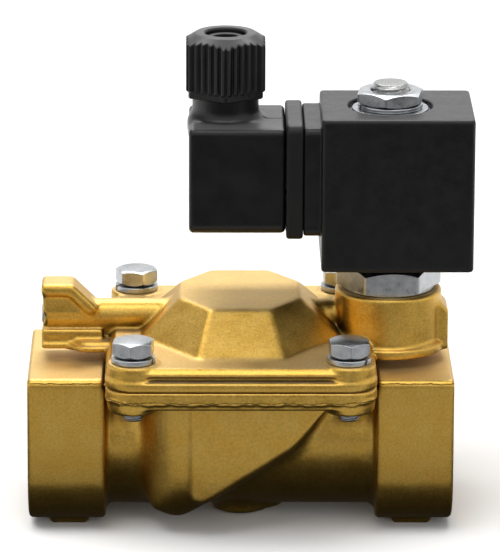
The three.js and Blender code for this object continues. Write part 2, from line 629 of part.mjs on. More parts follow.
/** The faceted dome: an octagon at the bonnet plate that narrows to a smaller one on top. */
function dome() {
  const corners = [];
  const levels = [
    [BONNET_TOP, DOME_FOOT_LONG, DOME_FOOT_WIDE],
    [BONNET_BOTTOM + DOME_RISE, DOME_TOP_LONG, DOME_TOP_WIDE],
  ];
  for (const [z, ...quarter] of levels) {
    for (const [x, y] of quarter) {
      for (const [signX, signY] of [[1, 1], [1, -1], [-1, 1], [-1, -1]]) {
        corners.push(new THREE.Vector3(signX * x, signY * y, z));
      }
    }
  }
  return solidOf(new ConvexGeometry(corners));
}

/** The drilled arm on the inlet side, with its web, raised end block and rim. */
function passageArm() {
  const foot = BONNET_BOTTOM + OVERRUN;
  const blockEnd = ARM_END + ARM_BLOCK_LENGTH;
  const blockTop = BONNET_BOTTOM + ARM_BLOCK_RISE;
  const rimFoot = blockTop - ARM_RIM_DEPTH;
  const slope = ARM_RIM_DEPTH;
  const panel = polygon([
    [ARM_END, foot], [blockEnd + slope, foot], [blockEnd + slope, ARM_AXIS],
    [blockEnd, rimFoot + OVERRUN], [ARM_END, rimFoot + OVERRUN],
  ]);
  const rim = polygon([
    [ARM_END, rimFoot], [blockEnd - ARM_RIM_DEPTH / 4, rimFoot], [blockEnd + slope / 2, ARM_AXIS],
    [blockEnd + slope + OVERRUN, ARM_AXIS], [blockEnd + slope + OVERRUN, rimFoot - OVERRUN],
    [blockEnd, blockTop], [ARM_END, blockTop],
  ]);
  return join(
    rodX(ARM_RADIUS, ARM_END + OVERRUN, PILOT_X, ROUND_MEDIUM, 0, ARM_AXIS),
    block([ARM_END + OVERRUN, -TIER_LENGTH / 2 + OVERRUN], [-ARM_WEB / 2, ARM_WEB / 2], [foot, ARM_AXIS]),
    extrudeY(panel, -ARM_RADIUS, ARM_RADIUS),
    extrudeY(rim, -ARM_RIM_HALF, ARM_RIM_HALF),
  );
}

/** The round boss that carries the armature tube, its plate and the flat pad beyond it. */
function pilotBoss() {
  const foot = BONNET_BOTTOM + 0.9;
  const plateTop = foot + BONNET_LOWER_LAYER;
  const padEnd = PILOT_X + PILOT_PAD_REACH;
  const pad = polygon([
    [PILOT_X, foot], [padEnd, foot], [padEnd, PILOT_TOP - 5.2], [padEnd - 2.5, PILOT_TOP - 2.7],
    [PILOT_X, PILOT_TOP - 2.7],
  ]);
  return join(
    rodZ(PILOT_RADIUS, foot, PILOT_TOP, ROUND_LARGE, PILOT_X),
    rodZ(PILOT_PLATE_RADIUS, foot, plateTop, ROUND_LARGE, PILOT_X),
    extrudeY(pad, -PILOT_PAD_HALF, PILOT_PAD_HALF),
  );
}

/** Bores of the pilot: tube seat, plunger room, nozzle and the drain back to the outlet. */
function pilotBores() {
  const room = cut(
    rodZ(PLUNGER_ROOM, PLUNGER_ROOM_FLOOR, PILOT_TOP, ROUND_MEDIUM),
    rodZ(NOZZLE_RADIUS, PLUNGER_ROOM_FLOOR - OVERRUN, NOZZLE_TOP, ROUND_SMALL),
  );
  const drainRise = BONNET_BOTTOM + DRAIN_RISE;
  const drainTop = drainRise + DRAIN_RADIUS;
  return join(
    rodZ(ORING_POCKET_RADIUS, PILOT_TOP - ORING_POCKET_DEPTH, PILOT_TOP + OVERRUN, ROUND_LARGE),
    rodZ(PILOT_BORE, PILOT_TOP - PILOT_BORE_DEPTH, PILOT_TOP, ROUND_MEDIUM),
    room,
    rodZ(NOZZLE_BORE, drainRise, NOZZLE_TOP + OVERRUN, ROUND_SMALL),
    rodX(DRAIN_RADIUS, DRAIN_X - PILOT_X, 0, ROUND_SMALL, 0, drainRise),
    rodZ(DRAIN_RADIUS, BONNET_BOTTOM - OVERRUN, drainTop, ROUND_SMALL, DRAIN_X - PILOT_X),
  ).translate([PILOT_X, 0, 0]);
}

/** The brass bonnet: layered plate, dome, passage arm and pilot boss, with its chamber and bores. */
function bonnet() {
  const lower = roundedOutline(FLANGE_LENGTH / 2, -FLANGE_WIDTH / 2, FLANGE_WIDTH / 2, FLANGE_CORNER);
  const upper = roundedOutline(
    FLANGE_LENGTH / 2 - BONNET_STEP, -FLANGE_WIDTH / 2 + BONNET_STEP, FLANGE_WIDTH / 2 - BONNET_STEP,
    FLANGE_CORNER - BONNET_STEP,
  );
  const tier = roundedOutline(TIER_LENGTH / 2, -TIER_WIDTH / 2, TIER_WIDTH / 2, BOLT_BOSS_RADIUS / 2);
  const tab = roundedOutline(TAB_CORNER - TAB_END / 2, -TAB_HALF, TAB_HALF, TAB_CORNER);
  const layerTop = BONNET_BOTTOM + BONNET_LOWER_LAYER;
  const sunk = SEAT_GAP;
  const solid = join(
    extrudeZ(lower, BONNET_BOTTOM, layerTop),
    extrudeZ(upper, layerTop - sunk, BONNET_TOP),
    extrudeZ(tier, BONNET_TOP - sunk, BONNET_TOP + TIER_HEIGHT),
    extrudeZ(tab, BONNET_BOTTOM + OVERRUN, BONNET_TOP).translate([TAB_END / 2 + TAB_CORNER, 0, 0]),
    ...BOLT_PLACES.map(([x, y]) => rodZ(PAD_RADIUS, BONNET_TOP - sunk, PAD_TOP, ROUND_MEDIUM, x, y)),
    dome(),
    passageArm(),
    pilotBoss(),
  );
  const chamber = turned([
    [0, BONNET_BOTTOM - OVERRUN], [CAVITY_RADIUS, BONNET_BOTTOM - OVERRUN], [CAVITY_RADIUS, BONNET_BOTTOM],
    [CAVITY_RADIUS - 2, BONNET_BOTTOM + 3.7], [CAVITY_TOP_RADIUS, CAVITY_TOP], [0, CAVITY_TOP],
  ], ROUND_LARGE);
  const holes = BOLT_PLACES.map(([x, y]) => rodZ(
    BOLT_SHANK + BOLT_CLEAR_GAP, BONNET_BOTTOM - OVERRUN, PAD_TOP + OVERRUN, ROUND_SMALL, x, y,
  ));
  return cut(
    solid, chamber, pilotBores(), ...holes,
    rodX(ARM_BORE, ARM_END - OVERRUN, PILOT_X, ROUND_SMALL, 0, ARM_AXIS),
    rodX(PASSAGE_PLUG_RADIUS + SEAT_GAP, ARM_END - OVERRUN, ARM_END + PASSAGE_PLUG_LENGTH, ROUND_SMALL, 0, ARM_AXIS),
  );
}

// ---- Bolts and washers ----

/** Hexagon bolt with its head's underside at Z = 0 and its shank downwards. */
function bolt(turn) {
  return join(
    hexagon(BOLT_FLATS, 0, BOLT_HEAD, turn, { top: 0.6 }),
    rodZ(BOLT_SHANK, -BOLT_LENGTH, OVERRUN, ROUND_SMALL),
  );
}

/** Split spring washer that rests on Z = 0. */
function lockWasher(inner, outer, thickness, turn) {
  const split = block(
    [inner - OVERRUN, outer + OVERRUN], [-LOCK_WASHER_SPLIT / 2, LOCK_WASHER_SPLIT / 2],
    [-OVERRUN, thickness + OVERRUN],
  );
  return cut(ring(inner, outer, 0, thickness, ROUND_MEDIUM), split).rotate([0, 0, turn]);
}

/** Bolt and washer nodes at the four corners of the flange. */
function flangeFasteners() {
  const washerFoot = PAD_TOP + SEAT_GAP;
  const headFoot = washerFoot + LOCK_WASHER_THICKNESS + SEAT_GAP;
  const inner = BOLT_SHANK + BOLT_HOLE_GAP;
  const places = ['front_left', 'front_right', 'rear_right', 'rear_left'];
  return places.flatMap((place, i) => {
    const [x, y] = BOLT_PLACES[i];
    const washer = lockWasher(inner, LOCK_WASHER_RADIUS, LOCK_WASHER_THICKNESS, WASHER_SPLITS[i]);
    return [
      node(`flange_bolt_${place}`, bolt(BOLT_TURNS[i]), 'steel', x, y, headFoot),
      node(`lock_washer_${place}`, washer, 'steel', x, y, washerFoot),
    ];
  });
}

// ---- Diaphragm assembly ----

/** Dished rubber diaphragm, clamped at its rim and resting on the seat. */
function diaphragm() {
  const rimBottom = FLANGE_TOP - RIM_DEPTH + SEAT_GAP;
  const bend = CHAMBER_RADIUS - RUNNING_GAP;
  const hole = STEM_RADIUS + STEM_GAP;
  return turned([
    [hole, DIAPHRAGM_BOTTOM], [DIAPHRAGM_FLAT, DIAPHRAGM_BOTTOM], [bend, rimBottom],
    [RIM_RADIUS - SEAT_GAP * 2, rimBottom], [RIM_RADIUS - SEAT_GAP * 2, FLANGE_TOP],
    [bend - SEAT_GAP * 4, FLANGE_TOP], [DIAPHRAGM_FLAT - SEAT_GAP * 4, DIAPHRAGM_TOP], [hole, DIAPHRAGM_TOP],
  ], ROUND_LARGE);
}

/** Everything that lifts off the seat: diaphragm, plates, their bolt and nut, and the spring on top. */
function diaphragmAssembly() {
  const hole = STEM_RADIUS + STEM_GAP;
  const lowerTop = DIAPHRAGM_BOTTOM - SEAT_GAP;
  const lowerBottom = lowerTop - LOWER_PLATE_THICKNESS;
  const headTop = lowerBottom - SEAT_GAP;
  const nutBottom = UPPER_PLATE_TOP + SEAT_GAP;
  const nutTop = nutBottom + STEM_NUT;
  const stem = join(
    hexagon(STEM_FLATS, headTop - STEM_HEAD, headTop, 0, { foot: 0.5 }),
    rodZ(STEM_RADIUS, headTop - OVERRUN, nutTop + STEM_TAIL, ROUND_SMALL),
  );
  const nut = cut(
    hexagon(STEM_FLATS, nutBottom, nutTop, 0, { top: 0.4 }),
    rodZ(STEM_RADIUS + STEM_GAP, nutBottom - OVERRUN, nutTop + OVERRUN, ROUND_SMALL),
  );
  const lowerRadius = PASSAGE_RADIUS - LOWER_PLATE_GAP;
  return [
    node('diaphragm', diaphragm(), 'rubber'),
    node('upper_plate', ring(hole, UPPER_PLATE_RADIUS, DIAPHRAGM_TOP + SEAT_GAP, UPPER_PLATE_TOP, ROUND_MEDIUM), 'stainless'),
    node('lower_plate', ring(hole, lowerRadius, lowerBottom, lowerTop, ROUND_MEDIUM), 'brass'),
    node('plate_bolt', stem, 'stainless'),
    node('plate_nut', nut, 'stainless'),
    node('main_spring', spring(
      MAIN_SPRING_RADIUS, MAIN_SPRING_WIRE, UPPER_PLATE_TOP + SEAT_GAP, CAVITY_TOP - SEAT_GAP,
      MAIN_SPRING_TURNS,
    ), 'stainless'),
  ];
}

// ---- Armature tube, about the pilot axis ----

/** Hexagonal base that screws the armature tube into the bonnet. */
function tubeBase() {
  const hexBottom = TUBE_BASE_BOTTOM + TUBE_BASE_COLLAR;
  const spigotBottom = PILOT_TOP - PILOT_BORE_DEPTH + RUNNING_GAP;
  return cut(
    join(
      hexagon(TUBE_BASE_FLATS, hexBottom, TUBE_BASE_TOP, TUBE_BASE_TURN, { top: 0.9 }),
      rodZ(TUBE_BASE_FLATS / 2, TUBE_BASE_BOTTOM, hexBottom + SEAT_GAP, ROUND_LARGE),
      rodZ(PILOT_BORE - TUBE_GAP, spigotBottom, TUBE_BASE_BOTTOM + SEAT_GAP, ROUND_MEDIUM),
    ),
    rodZ(TUBE_RADIUS + TUBE_GAP, spigotBottom - OVERRUN, TUBE_BASE_TOP + OVERRUN, ROUND_MEDIUM),
  );
}

/** Fixed iron core with its threaded stud, and the groove for the shading ring. */
function fixedCore() {
  const studTop = CORE_TOP + STUD_LENGTH;
  const groove = ring(
    SHADING_INNER - TUBE_GAP, SHADING_OUTER + TUBE_GAP, CORE_BOTTOM - OVERRUN,
    CORE_BOTTOM + SHADING_DEPTH + TUBE_GAP, ROUND_MEDIUM,
  );
  return cut(turned([
    [0, CORE_BOTTOM], [CORE_RADIUS, CORE_BOTTOM], [CORE_RADIUS, CORE_TOP], [STUD_RADIUS, CORE_TOP],
    [STUD_RADIUS, studTop - STUD_CHAMFER], [STUD_RADIUS - STUD_CHAMFER, studTop], [0, studTop],
  ], ROUND_MEDIUM), groove);
}

/** Sliding plunger with a spring pocket above and a seal pocket below. */
function plunger() {
  const sealRoof = SEAL_BOTTOM + PLUNGER_SEAL_LENGTH + SEAT_GAP;
  return cut(
    rodZ(PLUNGER_RADIUS, PLUNGER_BOTTOM, PLUNGER_TOP, ROUND_MEDIUM),
    rodZ(PLUNGER_POCKET, PLUNGER_TOP - PLUNGER_POCKET_DEPTH, PLUNGER_TOP + OVERRUN, ROUND_SMALL),
    rodZ(PLUNGER_SEAL_RADIUS + TUBE_GAP, PLUNGER_BOTTOM - OVERRUN, sealRoof, ROUND_SMALL),
  );
}

/** Nodes of the armature tube and what works inside it. */
function armature() {
  const tubeBottom = PILOT_TOP - PILOT_BORE_DEPTH + RUNNING_GAP + SEAT_GAP;
  const tubeTop = COIL_BOTTOM + YOKE_TOP - TUBE_TOP_DROP;
  const oringFoot = PILOT_TOP - ORING_POCKET_DEPTH + SEAT_GAP;
  const springFoot = PLUNGER_TOP - PLUNGER_POCKET_DEPTH + SEAT_GAP;
  return [
    node('tube_base', tubeBase(), 'steel'),
    node('guide_tube', ring(TUBE_BORE, TUBE_RADIUS, tubeBottom, tubeTop, ROUND_MEDIUM), 'stainless'),
    node('fixed_core', fixedCore(), 'stainless'),
    node('shading_ring', ring(SHADING_INNER, SHADING_OUTER, CORE_BOTTOM, CORE_BOTTOM + SHADING_DEPTH, ROUND_MEDIUM), 'copper'),
    node('tube_oring', ring(TUBE_ORING_INNER, ORING_POCKET_RADIUS - SEAT_GAP * 2, oringFoot, PILOT_TOP, ROUND_MEDIUM), 'rubber'),
    node('plunger', plunger(), 'stainless'),
    node('plunger_seal', rodZ(PLUNGER_SEAL_RADIUS, SEAL_BOTTOM, SEAL_BOTTOM + PLUNGER_SEAL_LENGTH, ROUND_SMALL), 'rubber'),
    node('plunger_spring', spring(
      PLUNGER_SPRING_RADIUS, PLUNGER_SPRING_WIRE, springFoot, CORE_BOTTOM - SEAT_GAP,
      PLUNGER_SPRING_TURNS,
    ), 'stainless'),
  ];
}

/** Seal under the coil, and the washers and nut that hold it on the stud. */
function coilFasteners() {
  const sealFoot = TUBE_BASE_TOP + SEAT_GAP;
  const washerFoot = COIL_BOTTOM + YOKE_TOP + SEAT_GAP;
  const lockFoot = washerFoot + COIL_WASHER_THICKNESS + SEAT_GAP;
  const nutFoot = lockFoot + COIL_LOCK_THICKNESS + SEAT_GAP;
  const inner = STUD_RADIUS + 2 * TUBE_GAP;
  const nut = cut(
    hexagon(NUT_FLATS, 0, NUT_HEIGHT, NUT_TURN, { top: 0.5, foot: 0.5 }),
    rodZ(inner, -OVERRUN, NUT_HEIGHT + OVERRUN, ROUND_MEDIUM),
  );
  const seal = ring(COIL_BORE + SEAT_GAP * 4, COIL_BORE + 2.6, 0, COIL_SEAL_THICKNESS, ROUND_MEDIUM);
  const washer = ring(inner, COIL_WASHER_RADIUS, 0, COIL_WASHER_THICKNESS, ROUND_MEDIUM);
  const lock = lockWasher(inner, COIL_LOCK_RADIUS, COIL_LOCK_THICKNESS, 200);
  return [
    node('coil_lower_seal', seal, 'rubber', 0, 0, sealFoot),
    node('coil_flat_washer', washer, 'steel', 0, 0, washerFoot),
    node('coil_lock_washer', lock, 'steel', 0, 0, lockFoot),
    node('coil_nut', nut, 'steel', 0, 0, nutFoot),
  ];
}

// ---- Coil, about the tube axis with Z = 0 at its underside ----

/** The three flat blades, each as its ranges along Y and Z about the plug axis. */
const BLADES = {
  blade_line: [[BLADE_SIDE - BLADE_THICKNESS / 2, BLADE_SIDE + BLADE_THICKNESS / 2], [-BLADE_WIDTH / 2, BLADE_WIDTH / 2]],
  blade_neutral: [[-BLADE_SIDE - BLADE_THICKNESS / 2, -BLADE_SIDE + BLADE_THICKNESS / 2], [-BLADE_WIDTH / 2, BLADE_WIDTH / 2]],
  blade_earth: [[-BLADE_WIDTH / 2, BLADE_WIDTH / 2], [-BLADE_EARTH - BLADE_THICKNESS / 2, -BLADE_EARTH + BLADE_THICKNESS / 2]],
};

/** A range made wider by a margin at both ends. */
function widened([low, high], margin) {
  return [low - margin, high + margin];
}

/** Moulded coil case with a square neck for the plug, hollow around the steel frame. */
function coilHousing() {
  const frame = RUNNING_GAP / 2 + SEAT_GAP / 2;
  const outline = roundedOutline((COIL_LEFT + COIL_RIGHT) / 2, -COIL_DEPTH / 2, COIL_DEPTH / 2, COIL_EDGE);
  const neck = roundedOutline(
    NECK_SIZE / 2, CONNECTOR_RISE - NECK_SIZE / 2, CONNECTOR_RISE + NECK_SIZE / 2, PLUG_EDGE,
  );
  const slots = Object.values(BLADES).map(([y, z]) => block(
    [NECK_FACE - OVERRUN, NECK_FACE + BLADE_ROOT + SEAT_GAP], widened(y, TUBE_GAP), widened(z, TUBE_GAP),
  ).translate([0, 0, CONNECTOR_RISE]));
  return cut(
    join(
      extrudeZ(outline, 0, COIL_HEIGHT, 2).translate([(COIL_RIGHT - COIL_LEFT) / 2, 0, 0]),
      extrudeX(neck, NECK_FACE, -COIL_LEFT + OVERRUN, 2),
    ),
    rodZ(COIL_BORE, -OVERRUN, COIL_HEIGHT / 2, ROUND_MEDIUM),
    rodZ(COIL_RECESS_RADIUS, YOKE_TOP, COIL_HEIGHT + OVERRUN, ROUND_LARGE),
    block(
      widened([-YOKE_LENGTH / 2, YOKE_LENGTH / 2], frame),
      widened([-YOKE_DEPTH / 2, YOKE_DEPTH / 2], 2 * frame),
      [COIL_FLOOR - SEAT_GAP * 2, YOKE_TOP + SEAT_GAP],
    ),
    rodX(
      PLUG_SCREW_RADIUS + TUBE_GAP, NECK_FACE - OVERRUN, NECK_FACE + PLUG_SCREW_BITE + RUNNING_GAP,
      ROUND_SMALL, 0, CONNECTOR_RISE,
    ),
    ...slots,
  );
}

/** Steel frame around the winding, open towards +Y and -Y. */
function coilYoke() {
  const inside = YOKE_LENGTH / 2 - YOKE_THICKNESS;
  return cut(
    block([-YOKE_LENGTH / 2, YOKE_LENGTH / 2], [-YOKE_DEPTH / 2, YOKE_DEPTH / 2], [COIL_FLOOR, YOKE_TOP]),
    block(
      [-inside, inside], widened([-YOKE_DEPTH / 2, YOKE_DEPTH / 2], OVERRUN),
      [COIL_FLOOR + YOKE_THICKNESS, YOKE_TOP - YOKE_THICKNESS],
    ),
    rodZ(TUBE_RADIUS + RUNNING_GAP, 0, COIL_HEIGHT / 2, ROUND_MEDIUM),
    rodZ(STUD_RADIUS + RUNNING_GAP, COIL_HEIGHT / 2, COIL_HEIGHT, ROUND_MEDIUM),
  );
}

/** Bobbin between the plates of the frame, with the winding between its flanges. */
function bobbinAndWinding() {
  const inner = TUBE_RADIUS + RUNNING_GAP;
  const outer = inner + BOBBIN_WALL;
  const foot = COIL_FLOOR + YOKE_THICKNESS + SEAT_GAP;
  const top = YOKE_TOP - YOKE_THICKNESS - SEAT_GAP;
  const bobbin = turned([
    [inner, foot], [BOBBIN_FLANGE, foot], [BOBBIN_FLANGE, foot + BOBBIN_WALL], [outer, foot + BOBBIN_WALL],
    [outer, top - BOBBIN_WALL], [BOBBIN_FLANGE, top - BOBBIN_WALL], [BOBBIN_FLANGE, top], [inner, top],
  ], ROUND_MEDIUM);
  const winding = ring(
    outer + TUBE_GAP, WINDING_RADIUS, foot + BOBBIN_WALL + TUBE_GAP, top - BOBBIN_WALL - TUBE_GAP, ROUND_MEDIUM,
  );
  return [node('coil_bobbin', bobbin, 'palePlastic'), node('coil_winding', winding, 'copper')];
}

/** Nodes that turn with the coil on its tube. */
function coil() {
  const blades = Object.entries(BLADES).map(([name, [y, z]]) => node(
    name, block([NECK_FACE - BLADE_REACH, NECK_FACE + BLADE_ROOT], y, z), 'steel', 0, 0, CONNECTOR_RISE,
  ));
  return [
    node('coil_housing', coilHousing(), 'coilPlastic'),
    node('coil_yoke', coilYoke(), 'steel'),
    ...bobbinAndWinding(),
    ...blades,
  ];
}

// ---- Plug, with X = 0 at its open end and its axis along X ----

/** A range in X and the blade's ranges, grown to a contact's outline. */
function contactRanges(blade) {
  const upright = blade !== 'blade_earth';
  const [y, z] = BLADES[blade];
  const middleY = (y[0] + y[1]) / 2;
  const middleZ = (z[0] + z[1]) / 2;
  const halfY = (upright ? CONTACT_THICKNESS : CONTACT_WIDTH) / 2;
  const halfZ = (upright ? CONTACT_WIDTH : CONTACT_THICKNESS) / 2;
  return {
    slotY: widened(y, TUBE_GAP * 2),
    slotZ: widened(z, TUBE_GAP * 2),
    outerY: [middleY - halfY, middleY + halfY],
    outerZ: [middleZ - halfZ, middleZ + halfZ],
    middleY,
    middleZ,
  };
}

/** A slotted brass contact that takes one blade, with a hole for its clamp screw. */
function contact(blade) {
  const { slotY, slotZ, outerY, outerZ, middleY, middleZ } = contactRanges(blade);
  return cut(
    block([CONTACT_BACK, CONTACT_FACE], outerY, outerZ),
    block([CONTACT_FACE - CONTACT_SLOT, CONTACT_FACE + OVERRUN], slotY, slotZ),
    rodX(CLAMP_SCREW_RADIUS + TUBE_GAP, CONTACT_BACK - OVERRUN, CONTACT_FACE - CONTACT_SLOT + SEAT_GAP, ROUND_SMALL, middleY, middleZ),
  );
}

/** Clamp screw behind a contact, with its head sunk in the back of the terminal block. */
function clampScrew(blade) {
  const { middleY, middleZ } = contactRanges(blade);
  const headBack = BLOCK_BACK + SEAT_GAP;
  return join(
    rodX(CLAMP_HEAD_RADIUS, headBack, headBack + CLAMP_HEAD_LENGTH, ROUND_SMALL, middleY, middleZ),
    rodX(CLAMP_SCREW_RADIUS, headBack + SEAT_GAP, CONTACT_BACK + 2.4, ROUND_SMALL, middleY, middleZ),
  );
}

/** Insulating block that carries the three contacts. */
function terminalBlock() {
  const half = BLOCK_SIZE / 2;
  const pockets = Object.keys(BLADES).flatMap((blade) => {
    const { outerY, outerZ, middleY, middleZ } = contactRanges(blade);
    const headFloor = BLOCK_BACK + CLAMP_HEAD_LENGTH + 2 * SEAT_GAP;
    return [
      block([CONTACT_BACK - RUNNING_GAP, OVERRUN], widened(outerY, RUNNING_GAP), widened(outerZ, RUNNING_GAP)),
      rodX(CLAMP_HEAD_RADIUS + RUNNING_GAP, BLOCK_BACK - OVERRUN, headFloor, ROUND_SMALL, middleY, middleZ),
      rodX(CLAMP_SCREW_RADIUS + RUNNING_GAP, BLOCK_BACK, CONTACT_BACK, ROUND_SMALL, middleY, middleZ),
    ];
  });
  return cut(
    block([BLOCK_BACK, BLOCK_FACE], [-half, half], [-half, half]),
    rodX(PLUG_SCREW_RADIUS + RUNNING_GAP, BLOCK_BACK - OVERRUN, OVERRUN, ROUND_SMALL),
    ...pockets,
  );
}

/** Square plug case, open towards the coil, with the gland's neck on top and the screw's boss. */
function plugHousing() {
  const half = PLUG_SIZE / 2;
  const boreHalf = PLUG_BORE / 2;
  const neckTop = GLAND_FOOT + GLAND_NECK_HEIGHT;
  const ledge = GLAND_FOOT + GLAND_LEDGE_RISE;
  const outer = extrudeX(roundedOutline(half, -half, half, PLUG_EDGE), -PLUG_LENGTH, 0, 3);
  const inner = extrudeX(
    roundedOutline(boreHalf, -boreHalf, boreHalf, PLUG_EDGE / 4), -PLUG_LENGTH + PLUG_WALL, OVERRUN, 1,
  );
  return cut(
    join(
      cut(outer, inner),
      rodZ(GLAND_NECK_RADIUS, GLAND_FOOT - PLUG_WALL / 2, neckTop, ROUND_LARGE, GLAND_X),
      rodX(PLUG_SCREW_BOSS, -PLUG_LENGTH + SEAT_GAP, SCREW_SEAT + PLUG_WALL, ROUND_MEDIUM),
    ),
    rodZ(GLAND_BORE, ledge, neckTop + OVERRUN, ROUND_MEDIUM, GLAND_X),
    rodZ(GLAND_BORE - GLAND_LEDGE, boreHalf - OVERRUN, ledge + OVERRUN, ROUND_MEDIUM, GLAND_X),
    rodX(PLUG_SCREW_HEAD_RADIUS + 2 * RUNNING_GAP, -PLUG_LENGTH - OVERRUN, SCREW_SEAT, ROUND_MEDIUM),
    rodX(PLUG_SCREW_RADIUS + RUNNING_GAP, -PLUG_LENGTH, 0, ROUND_SMALL),
  );
}

/** Long screw that holds the plug on the coil's neck. */
function plugScrew() {
  const headBack = -PLUG_LENGTH + SEAT_GAP;
  const headFace = headBack + PLUG_SCREW_HEAD_LENGTH;
  return join(
    rodX(PLUG_SCREW_HEAD_RADIUS, headBack, headFace, ROUND_MEDIUM),
    rodX(PLUG_SCREW_RADIUS, headBack + SEAT_GAP, NECK_IN_PLUG + PLUG_SCREW_BITE, ROUND_SMALL),
  );
}

/** Rubber seal under the head of the plug's screw. */
function plugScrewSeal() {
  const face = SCREW_SEAT - SEAT_GAP;
  const seat = PLUG_SCREW_HEAD_RADIUS + SEAT_GAP * 3;
  return cut(
    rodX(seat, face - SCREW_SEAL_THICKNESS, face, ROUND_MEDIUM),
    rodX(PLUG_SCREW_RADIUS + TUBE_GAP, -PLUG_LENGTH, 0, ROUND_SMALL),
  );
}

/** Flat gasket between the plug and the coil's neck. */
function plugGasket() {
  const half = GASKET_SIZE / 2;
  const window = GASKET_WINDOW / 2;
  return cut(
    extrudeX(roundedOutline(half, -half, half, PLUG_EDGE), SEAT_GAP, SEAT_GAP + GASKET_THICKNESS, 3),
    extrudeX(roundedOutline(window, -window, window, PLUG_EDGE / 2), -OVERRUN, GASKET_THICKNESS + OVERRUN, 1),
  );
}

/** Nodes that come off with the plug. */
function plug() {
  const names = ['line', 'neutral', 'earth'];
  return [
    node('plug_housing', plugHousing(), 'plugPlastic'),
    node('plug_gasket', plugGasket(), 'rubber'),
    node('terminal_block', terminalBlock(), 'palePlastic'),
    ...names.map((name) => node(`contact_${name}`, contact(`blade_${name}`), 'brass')),
    ...names.map((name) => node(`clamp_screw_${name}`, clampScrew(`blade_${name}`), 'steel')),
    node('plug_screw', plugScrew(), 'steel'),
    node('plug_screw_seal', plugScrewSeal(), 'rubber'),
  ];
}

// ---- Cable gland, about its own upright axis ----

/** Outline of the gland nut: a hexagon whose faces carry upright ribs. */
function ribbedHexagon() {
  const high = GLAND_NUT_FLATS / 2;
  const low = high - GLAND_RIB_DEPTH;
  const half = low / Math.sqrt(3);
  const pitch = 2 * half / GLAND_RIBS;
  const points = [];
  for (let face = 0; face < 6; face += 1) {
    const turn = face * Math.PI / 3;
    for (let rib = 0; rib < GLAND_RIBS; rib += 1) {
      for (const [share, out] of [[0.1, low], [0.3, high], [0.7, high], [0.9, low]]) {
        const along = -half + pitch * (rib + share);
        points.push([
          out * Math.cos(turn) - along * Math.sin(turn), out * Math.sin(turn) + along * Math.cos(turn),
        ]);
      }
    }
  }
  return polygon(points);
}

/** Ribbed clamping nut of the gland, coned at the top around the cable hole. */
function glandNut() {
  const wide = GLAND_NUT_FLATS / Math.sqrt(3) + OVERRUN;
  const coneDrop = (wide - GLAND_NUT_TOP_RADIUS) * Math.tan(THREE.MathUtils.degToRad(GLAND_NUT_SLOPE));
  const cone = turned([
    [0, GLAND_NUT_BOTTOM], [wide, GLAND_NUT_BOTTOM], [wide, GLAND_NUT_TOP - coneDrop],
    [GLAND_NUT_TOP_RADIUS, GLAND_NUT_TOP], [0, GLAND_NUT_TOP],
  ], ROUND_MEDIUM);
  return cut(
    extrudeZ(ribbedHexagon(), GLAND_NUT_BOTTOM, GLAND_NUT_TOP).intersect(cone),
    rodZ(GLAND_NECK_RADIUS + RUNNING_GAP, GLAND_NUT_BOTTOM - OVERRUN, GLAND_NUT_TOP - GLAND_NUT_TOP_WALL, ROUND_LARGE),
    rodZ(GLAND_NUT_HOLE, GLAND_NUT_BOTTOM, GLAND_NUT_TOP + OVERRUN, ROUND_MEDIUM),
  );
}

/** Nodes of the cable gland. */
function gland() {
  const grommet = ring(CABLE_RADIUS, GLAND_BORE - GROMMET_GAP, GROMMET_BOTTOM, GROMMET_TOP, ROUND_MEDIUM);
  const pressureRing = ring(
    CABLE_RADIUS + RUNNING_GAP, GLAND_NECK_RADIUS, GLAND_RING_BOTTOM, GLAND_RING_BOTTOM + GLAND_RING_THICKNESS,
    ROUND_MEDIUM,
  );
  return [
    node('gland_grommet', grommet, 'rubber'),
    node('gland_ring', pressureRing, 'plugPlastic'),
    node('gland_nut', glandNut(), 'plugPlastic'),
  ];
}

// ---- The whole valve ----

const plugGroup = groupAt(PLUG_FACE, 0, CONNECTOR_RISE, ...plug(), groupAt(GLAND_X, 0, 0, ...gland()));
const coilGroup = groupAt(0, 0, COIL_BOTTOM, ...coil(), plugGroup);
const pilotGroup = groupAt(PILOT_X, 0, 0, ...armature(), ...coilFasteners(), coilGroup);

const valve = groupAt(
  -BOX_MIDDLE, 0, 0,
  node('valve_body', valveBody(), 'brass'),
  node('bonnet', bonnet(), 'brass'),
  node('passage_plug', rodX(
    PASSAGE_PLUG_RADIUS, ARM_END + SEAT_GAP, ARM_END + PASSAGE_PLUG_LENGTH - SEAT_GAP, ROUND_SMALL, 0, ARM_AXIS,
  ), 'steel'),
  ...flangeFasteners(),
  ...diaphragmAssembly(),
  pilotGroup,
);

const solenoidValve = new THREE.Group();
solenoidValve.add(valve);

export default solenoidValve;
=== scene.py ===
"""Looks of a servo-assisted solenoid valve, laid over its CAD frame.

Sizes are millimetres in the valve's own frame: X along the flow with 0 at the middle of the cast
body, Y to the back, Z up from what the valve stands on. place() turns them into the row frame.
"""

import logging
import math
from collections.abc import Iterable, Sequence
from dataclasses import dataclass
from enum import Enum
from typing import Any

import bmesh
import bpy
import numpy as np
import openvdb
from mathutils import Matrix, Vector


